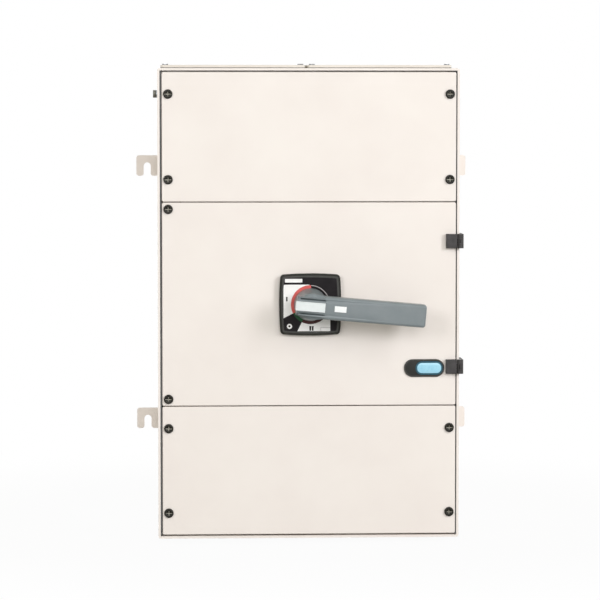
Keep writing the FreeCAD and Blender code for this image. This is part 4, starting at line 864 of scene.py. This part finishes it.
@dataclass
class DoorBadge(SubAssembly):
    """The bare badge low on the door: black plate, raised rim and a domed blue field."""

    title: str = "door badge"
    coats: dict[str, Finish] = field(default_factory=lambda: {
        "door_badge": BLACK_ABS, "badge_inset": BLUE_PRINT})
    rounded: tuple[str, ...] = ("door_badge",)
    plate: Extent = extent("door_badge")
    inset: Extent = extent("badge_inset")
    body: str = "hinged_door"
    rim_inset: float = 0.25
    rim_width: float = 1.5
    rim_rise: float = 0.5
    rim_clear: float = 0.01
    dome_rise: float = 0.45
    dome_foot: float = 0.3
    dome_eye: float = 0.04
    field_edge: float = 2.0
    field_lap: float = 0.1
    film: float = 0.06
    inset_corner: float = 6.0
    turn_steps: int = 25
    rim_steps: int = 9
    dome_steps: int = 10

    def rounded_box(self, width: float, height: float, corner: float) -> np.ndarray:
        """A box with round corners, anticlockwise from the right, as x and z about its middle.

        Each corner is a quarter turn of the corner radius about a point set in from both sides.

        Args:
            width: the box's width.
            height: its height.
            corner: the corner radius.

        Returns:
            The points.
        """
        turn = np.linspace(0, np.pi / 2, self.turn_steps)
        quarters = []
        for start, (right, up) in enumerate(((1, 1), (-1, 1), (-1, -1), (1, -1))):
            angle = turn + start * np.pi / 2
            quarters.append(np.stack([right * (width / 2 - corner) + corner * np.cos(angle),
                                      up * (height / 2 - corner) + corner * np.sin(angle)], axis=-1))
        return np.concatenate(quarters)

    def placed(self, flat: np.ndarray, part: Extent, rise: float) -> np.ndarray:
        """Stands a flat outline in front of a part of the badge, about its middle.

        Args:
            flat: points as x and z about the middle.
            part: the extent of the part.
            rise: how far in front of the part's face the points stand.

        Returns:
            The points in the object's frame.
        """
        depth = np.full(len(flat), -part.front - rise)
        return np.stack([flat[:, 0] + part.centre[0], depth, flat[:, 1] + part.centre[2]], axis=-1)

    def rim(self) -> np.ndarray:
        """The raised rim round the plate: a half-round bead carried round its outline.

        Returns:
            A grid whose rows go from the outer foot over the bead to the inner foot: the inset follows a
            cosine and the rise a sine of the same half turn.
        """
        width, _, height = self.plate.size
        rows = []
        for angle in np.linspace(0, np.pi, self.rim_steps):
            inset = self.rim_inset + self.rim_width * (1 - math.cos(angle)) / 2
            flat = self.rounded_box(width - 2 * inset, height - 2 * inset, height / 2 - inset - self.rim_clear)
            rows.append(self.placed(flat, self.plate, self.rim_rise * math.sin(angle)))
        return np.stack(rows)

    def dome(self) -> np.ndarray:
        """The domed field over the inset.

        Its rise is dome_rise times one minus the fourth power of the way out, from the edge to a small flat eye
        in the middle.

        Returns:
            A grid from the inset's foot to its middle.
        """
        width, _, height = self.inset.size
        edge = self.rounded_box(width, height, self.inset_corner)
        shares = np.linspace(1.0, self.dome_eye, self.dome_steps)
        foot = self.placed(edge, self.inset, -self.dome_foot)
        crown = [self.placed(share * edge, self.inset, self.dome_rise * (1 - share ** 4)) for share in shares]
        return np.stack([foot, *crown])

    def edge_print(self) -> np.ndarray:
        """The dark band printed round the blue field, which runs in under the inset by field_lap.

        Returns:
            A grid of the outer and the inner outline, one ink film above the plate.
        """
        width, _, height = self.inset.size
        rows = []
        print_rise = self.plate.front + self.film - self.inset.front
        for grow in (self.field_edge, -self.field_lap):
            flat = self.rounded_box(width + 2 * grow, height + 2 * grow, self.inset_corner + grow)
            rows.append(self.placed(flat, self.inset, print_rise))
        return np.stack(rows)

    def details(self) -> int:
        """Adds the rim, the field's printed edge and the dome.

        Returns:
            How many pieces were added.
        """
        rim = grid_mesh("badge_rim", self.rim(), closed=True)
        edge = grid_mesh("badge_field_edge", self.edge_print(), closed=True)
        dome = grid_mesh("badge_dome", self.dome(), closed=True, capped=True)
        # The rim's etched grey is partly painted sheen on its bead.
        for mesh, finish in ((rim, ETCHED_ABS_AND_SHEEN), (edge, TEAL_PRINT), (dome, BLUE_PRINT)):
            soften(mesh, ROUND_CREASE)
            face_forward(mesh)
            self.show(mesh.name, mesh, finish, self.body)
        return 3


# Studio

@dataclass(frozen=True)
class SoftBox:
    """A square lamp, with its side in metres and its power in watts."""

    name: str
    spot: Spot
    side: float
    power: float

    def hang(self, aim: Spot, tint: str) -> bpy.types.Object:
        """Hangs the lamp.

        Args:
            aim: the point that it faces.
            tint: its colour.

        Returns:
            The lamp.
        """
        data = bpy.data.lights.new(self.name, "AREA")
        data.shape, data.size, data.energy, data.color = "SQUARE", self.side, self.power, linear(tint)[:3]
        lamp = bpy.data.objects.new(self.name, data)
        bpy.context.scene.collection.objects.link(lamp)
        lamp.location = self.spot
        ray = np.array(aim) - np.array(self.spot)
        tilt = math.acos(-ray[2] / np.linalg.norm(ray))
        lamp.rotation_euler = (tilt, 0, math.atan2(ray[1], ray[0]) - math.pi / 2)
        return lamp


@dataclass
class Studio:
    """Floor, lights and camera, all in metres and degrees."""

    floor_drop: float = 0.0002
    floor_reach: float = 6.0
    floor_paint: str = "#B4B4B4"
    floor_white: float = 0.96
    shadow_ring: tuple[float, float] = (0.35, 0.9)
    ambient: float = 0.35
    ambient_tint: str = "#FFFDE2"
    lamp_tint: str = "#FAFAFF"
    lamp_aim: Spot = (0.0, 0.0, 0.0)
    soft_boxes: tuple[SoftBox, ...] = (
        SoftBox("left_soft_box", (-1.7, -2.9, 0.9), 1.0, 21.5),
        SoftBox("right_upper_soft_box", (2.3, -2.6, 1.9), 1.0, 22.0),
        SoftBox("right_lower_soft_box", (2.3, -2.7, 0.9), 1.0, 33.0),
        SoftBox("front_soft_box", (0.4, -3.8, 0.9), 1.6, 34.0),
        SoftBox("rear_left_soft_box", (-2.6, 1.7, 0.7), 1.0, 46.0),
        SoftBox("rear_right_soft_box", (2.6, 1.7, 0.7), 1.0, 40.0))
    camera_spot: Spot = (-0.179, -4.0, 0.248)
    camera_yaw: float = 2.54
    camera_pitch: float = -3.67
    camera_sees: float = 50.0
    sensor_mm: float = 36.0
    focal_px: float = 2965.0
    picture_px: float = 600.0

    def world(self) -> None:
        """A plain surround: white to the camera and in reflections, dimmer and warmer as a light."""
        world = bpy.data.worlds.new("studio_surround")
        bpy.context.scene.world = world
        world.use_nodes = True
        tree = world.node_tree
        tree.nodes.clear()
        path = add_node(tree, "ShaderNodeLightPath")
        tint = add_node(tree, "ShaderNodeMix", {"Factor": path.outputs["Is Diffuse Ray"], 6: linear("#FFFFFF"),
                                                7: linear(self.ambient_tint)}, data_type="RGBA")
        seen = add_node(tree, "ShaderNodeMath", {0: path.outputs["Is Camera Ray"],
                                                 1: path.outputs["Is Glossy Ray"]}, operation="MAXIMUM")
        through = add_node(tree, "ShaderNodeMath", {0: seen.outputs[0], 1: path.outputs["Is Transmission Ray"]},
                           operation="MAXIMUM")
        level = add_node(tree, "ShaderNodeMapRange", {"Value": through.outputs[0], "To Min": self.ambient,
                                                      "To Max": 1.0})
        light = add_node(tree, "ShaderNodeBackground", {"Color": tint.outputs[2],
                                                        "Strength": level.outputs["Result"]})
        add_node(tree, "ShaderNodeOutputWorld", {"Surface": light.outputs["Background"]})

    def floor(self) -> bpy.types.Object:
        """A flat floor under the lowest point: one square.

        Returns:
            The floor.
        """
        low = CAD_BOX[0][2] - self.floor_drop
        reach = self.floor_reach
        corners = np.array([[-reach, -reach, low], [reach, -reach, low], [reach, reach, low],
                            [-reach, reach, low]])
        mesh = bpy.data.meshes.new("studio_floor")
        mesh.from_pydata(corners.tolist(), [], [(0, 1, 2, 3)])
        floor = bpy.data.objects.new("studio_floor", mesh)
        bpy.context.scene.collection.objects.link(floor)
        mesh.materials.append(self.floor_material(low))
        return floor

    def floor_material(self, height: float) -> bpy.types.Material:
        """Matt floor paint that keeps a light contact shadow and looks white.

        Args:
            height: the floor's height, so that distance is measured along it.

        Returns:
            The material, mostly plain white to the camera, and wholly so away from the object, so that the
            ground runs into the surround.
        """
        made = bpy.data.materials.new("matt_white_floor")
        made.use_nodes = True
        tree = made.node_tree
        tree.nodes.clear()
        paint = add_node(tree, "ShaderNodeBsdfDiffuse", {"Color": linear(self.floor_paint)})
        white = add_node(tree, "ShaderNodeEmission", {"Color": linear("#FFFFFF"), "Strength": 1.0})
        place = add_node(tree, "ShaderNodeTexCoord").outputs["Object"]
        away = add_node(tree, "ShaderNodeVectorMath", {0: place, 1: (0.0, 0.0, height)}, operation="DISTANCE")
        fade = add_node(tree, "ShaderNodeMapRange", {
            "Value": away.outputs["Value"], "From Min": self.shadow_ring[0], "From Max": self.shadow_ring[1],
            "To Min": self.floor_white, "To Max": 1.0}, interpolation_type="SMOOTHSTEP")
        path = add_node(tree, "ShaderNodeLightPath")
        share = add_node(tree, "ShaderNodeMath", {0: path.outputs["Is Camera Ray"], 1: fade.outputs["Result"]},
                         operation="MULTIPLY")
        mix = add_node(tree, "ShaderNodeMixShader", {0: share.outputs[0], 1: paint.outputs["BSDF"],
                                                     2: white.outputs["Emission"]})
        add_node(tree, "ShaderNodeOutputMaterial", {"Surface": mix.outputs["Shader"]})
        return made

    def camera(self) -> bpy.types.Object:
        """The camera at the photograph's angle.

        Returns:
            The scene's camera.
        """
        data = bpy.data.cameras.new("studio_camera")
        data.sensor_width = self.sensor_mm
        data.lens = self.focal_px / self.picture_px * self.sensor_mm
        data.clip_end = self.camera_sees
        camera = bpy.data.objects.new("studio_camera", data)
        bpy.context.scene.collection.objects.link(camera)
        camera.location = self.camera_spot
        camera.rotation_euler = (math.radians(90 + self.camera_pitch), 0, math.radians(-self.camera_yaw))
        bpy.context.scene.camera = camera
        return camera

    def build(self) -> None:
        """Builds the whole studio and reports it."""
        self.world()
        self.floor()
        for box in self.soft_boxes:
            box.hang(self.lamp_aim, self.lamp_tint)
        self.camera()
        LOG.info("studio: floor, surround, camera and %d lamps", len(self.soft_boxes))


def main() -> None:
    """Builds everything in order."""
    logging.basicConfig(level=logging.INFO, format="%(name)s: %(message)s")
    bpy.context.scene.view_settings.view_transform = "Standard"
    Studio().build()
    for group in (Enclosure, PanelScrews, Hinges, CableEntries, EarthTerminal, SwitchInterior, Escutcheon,
                  LeverHandle, DoorBadge):
        group().build()


if __name__ == "__main__":
    main()
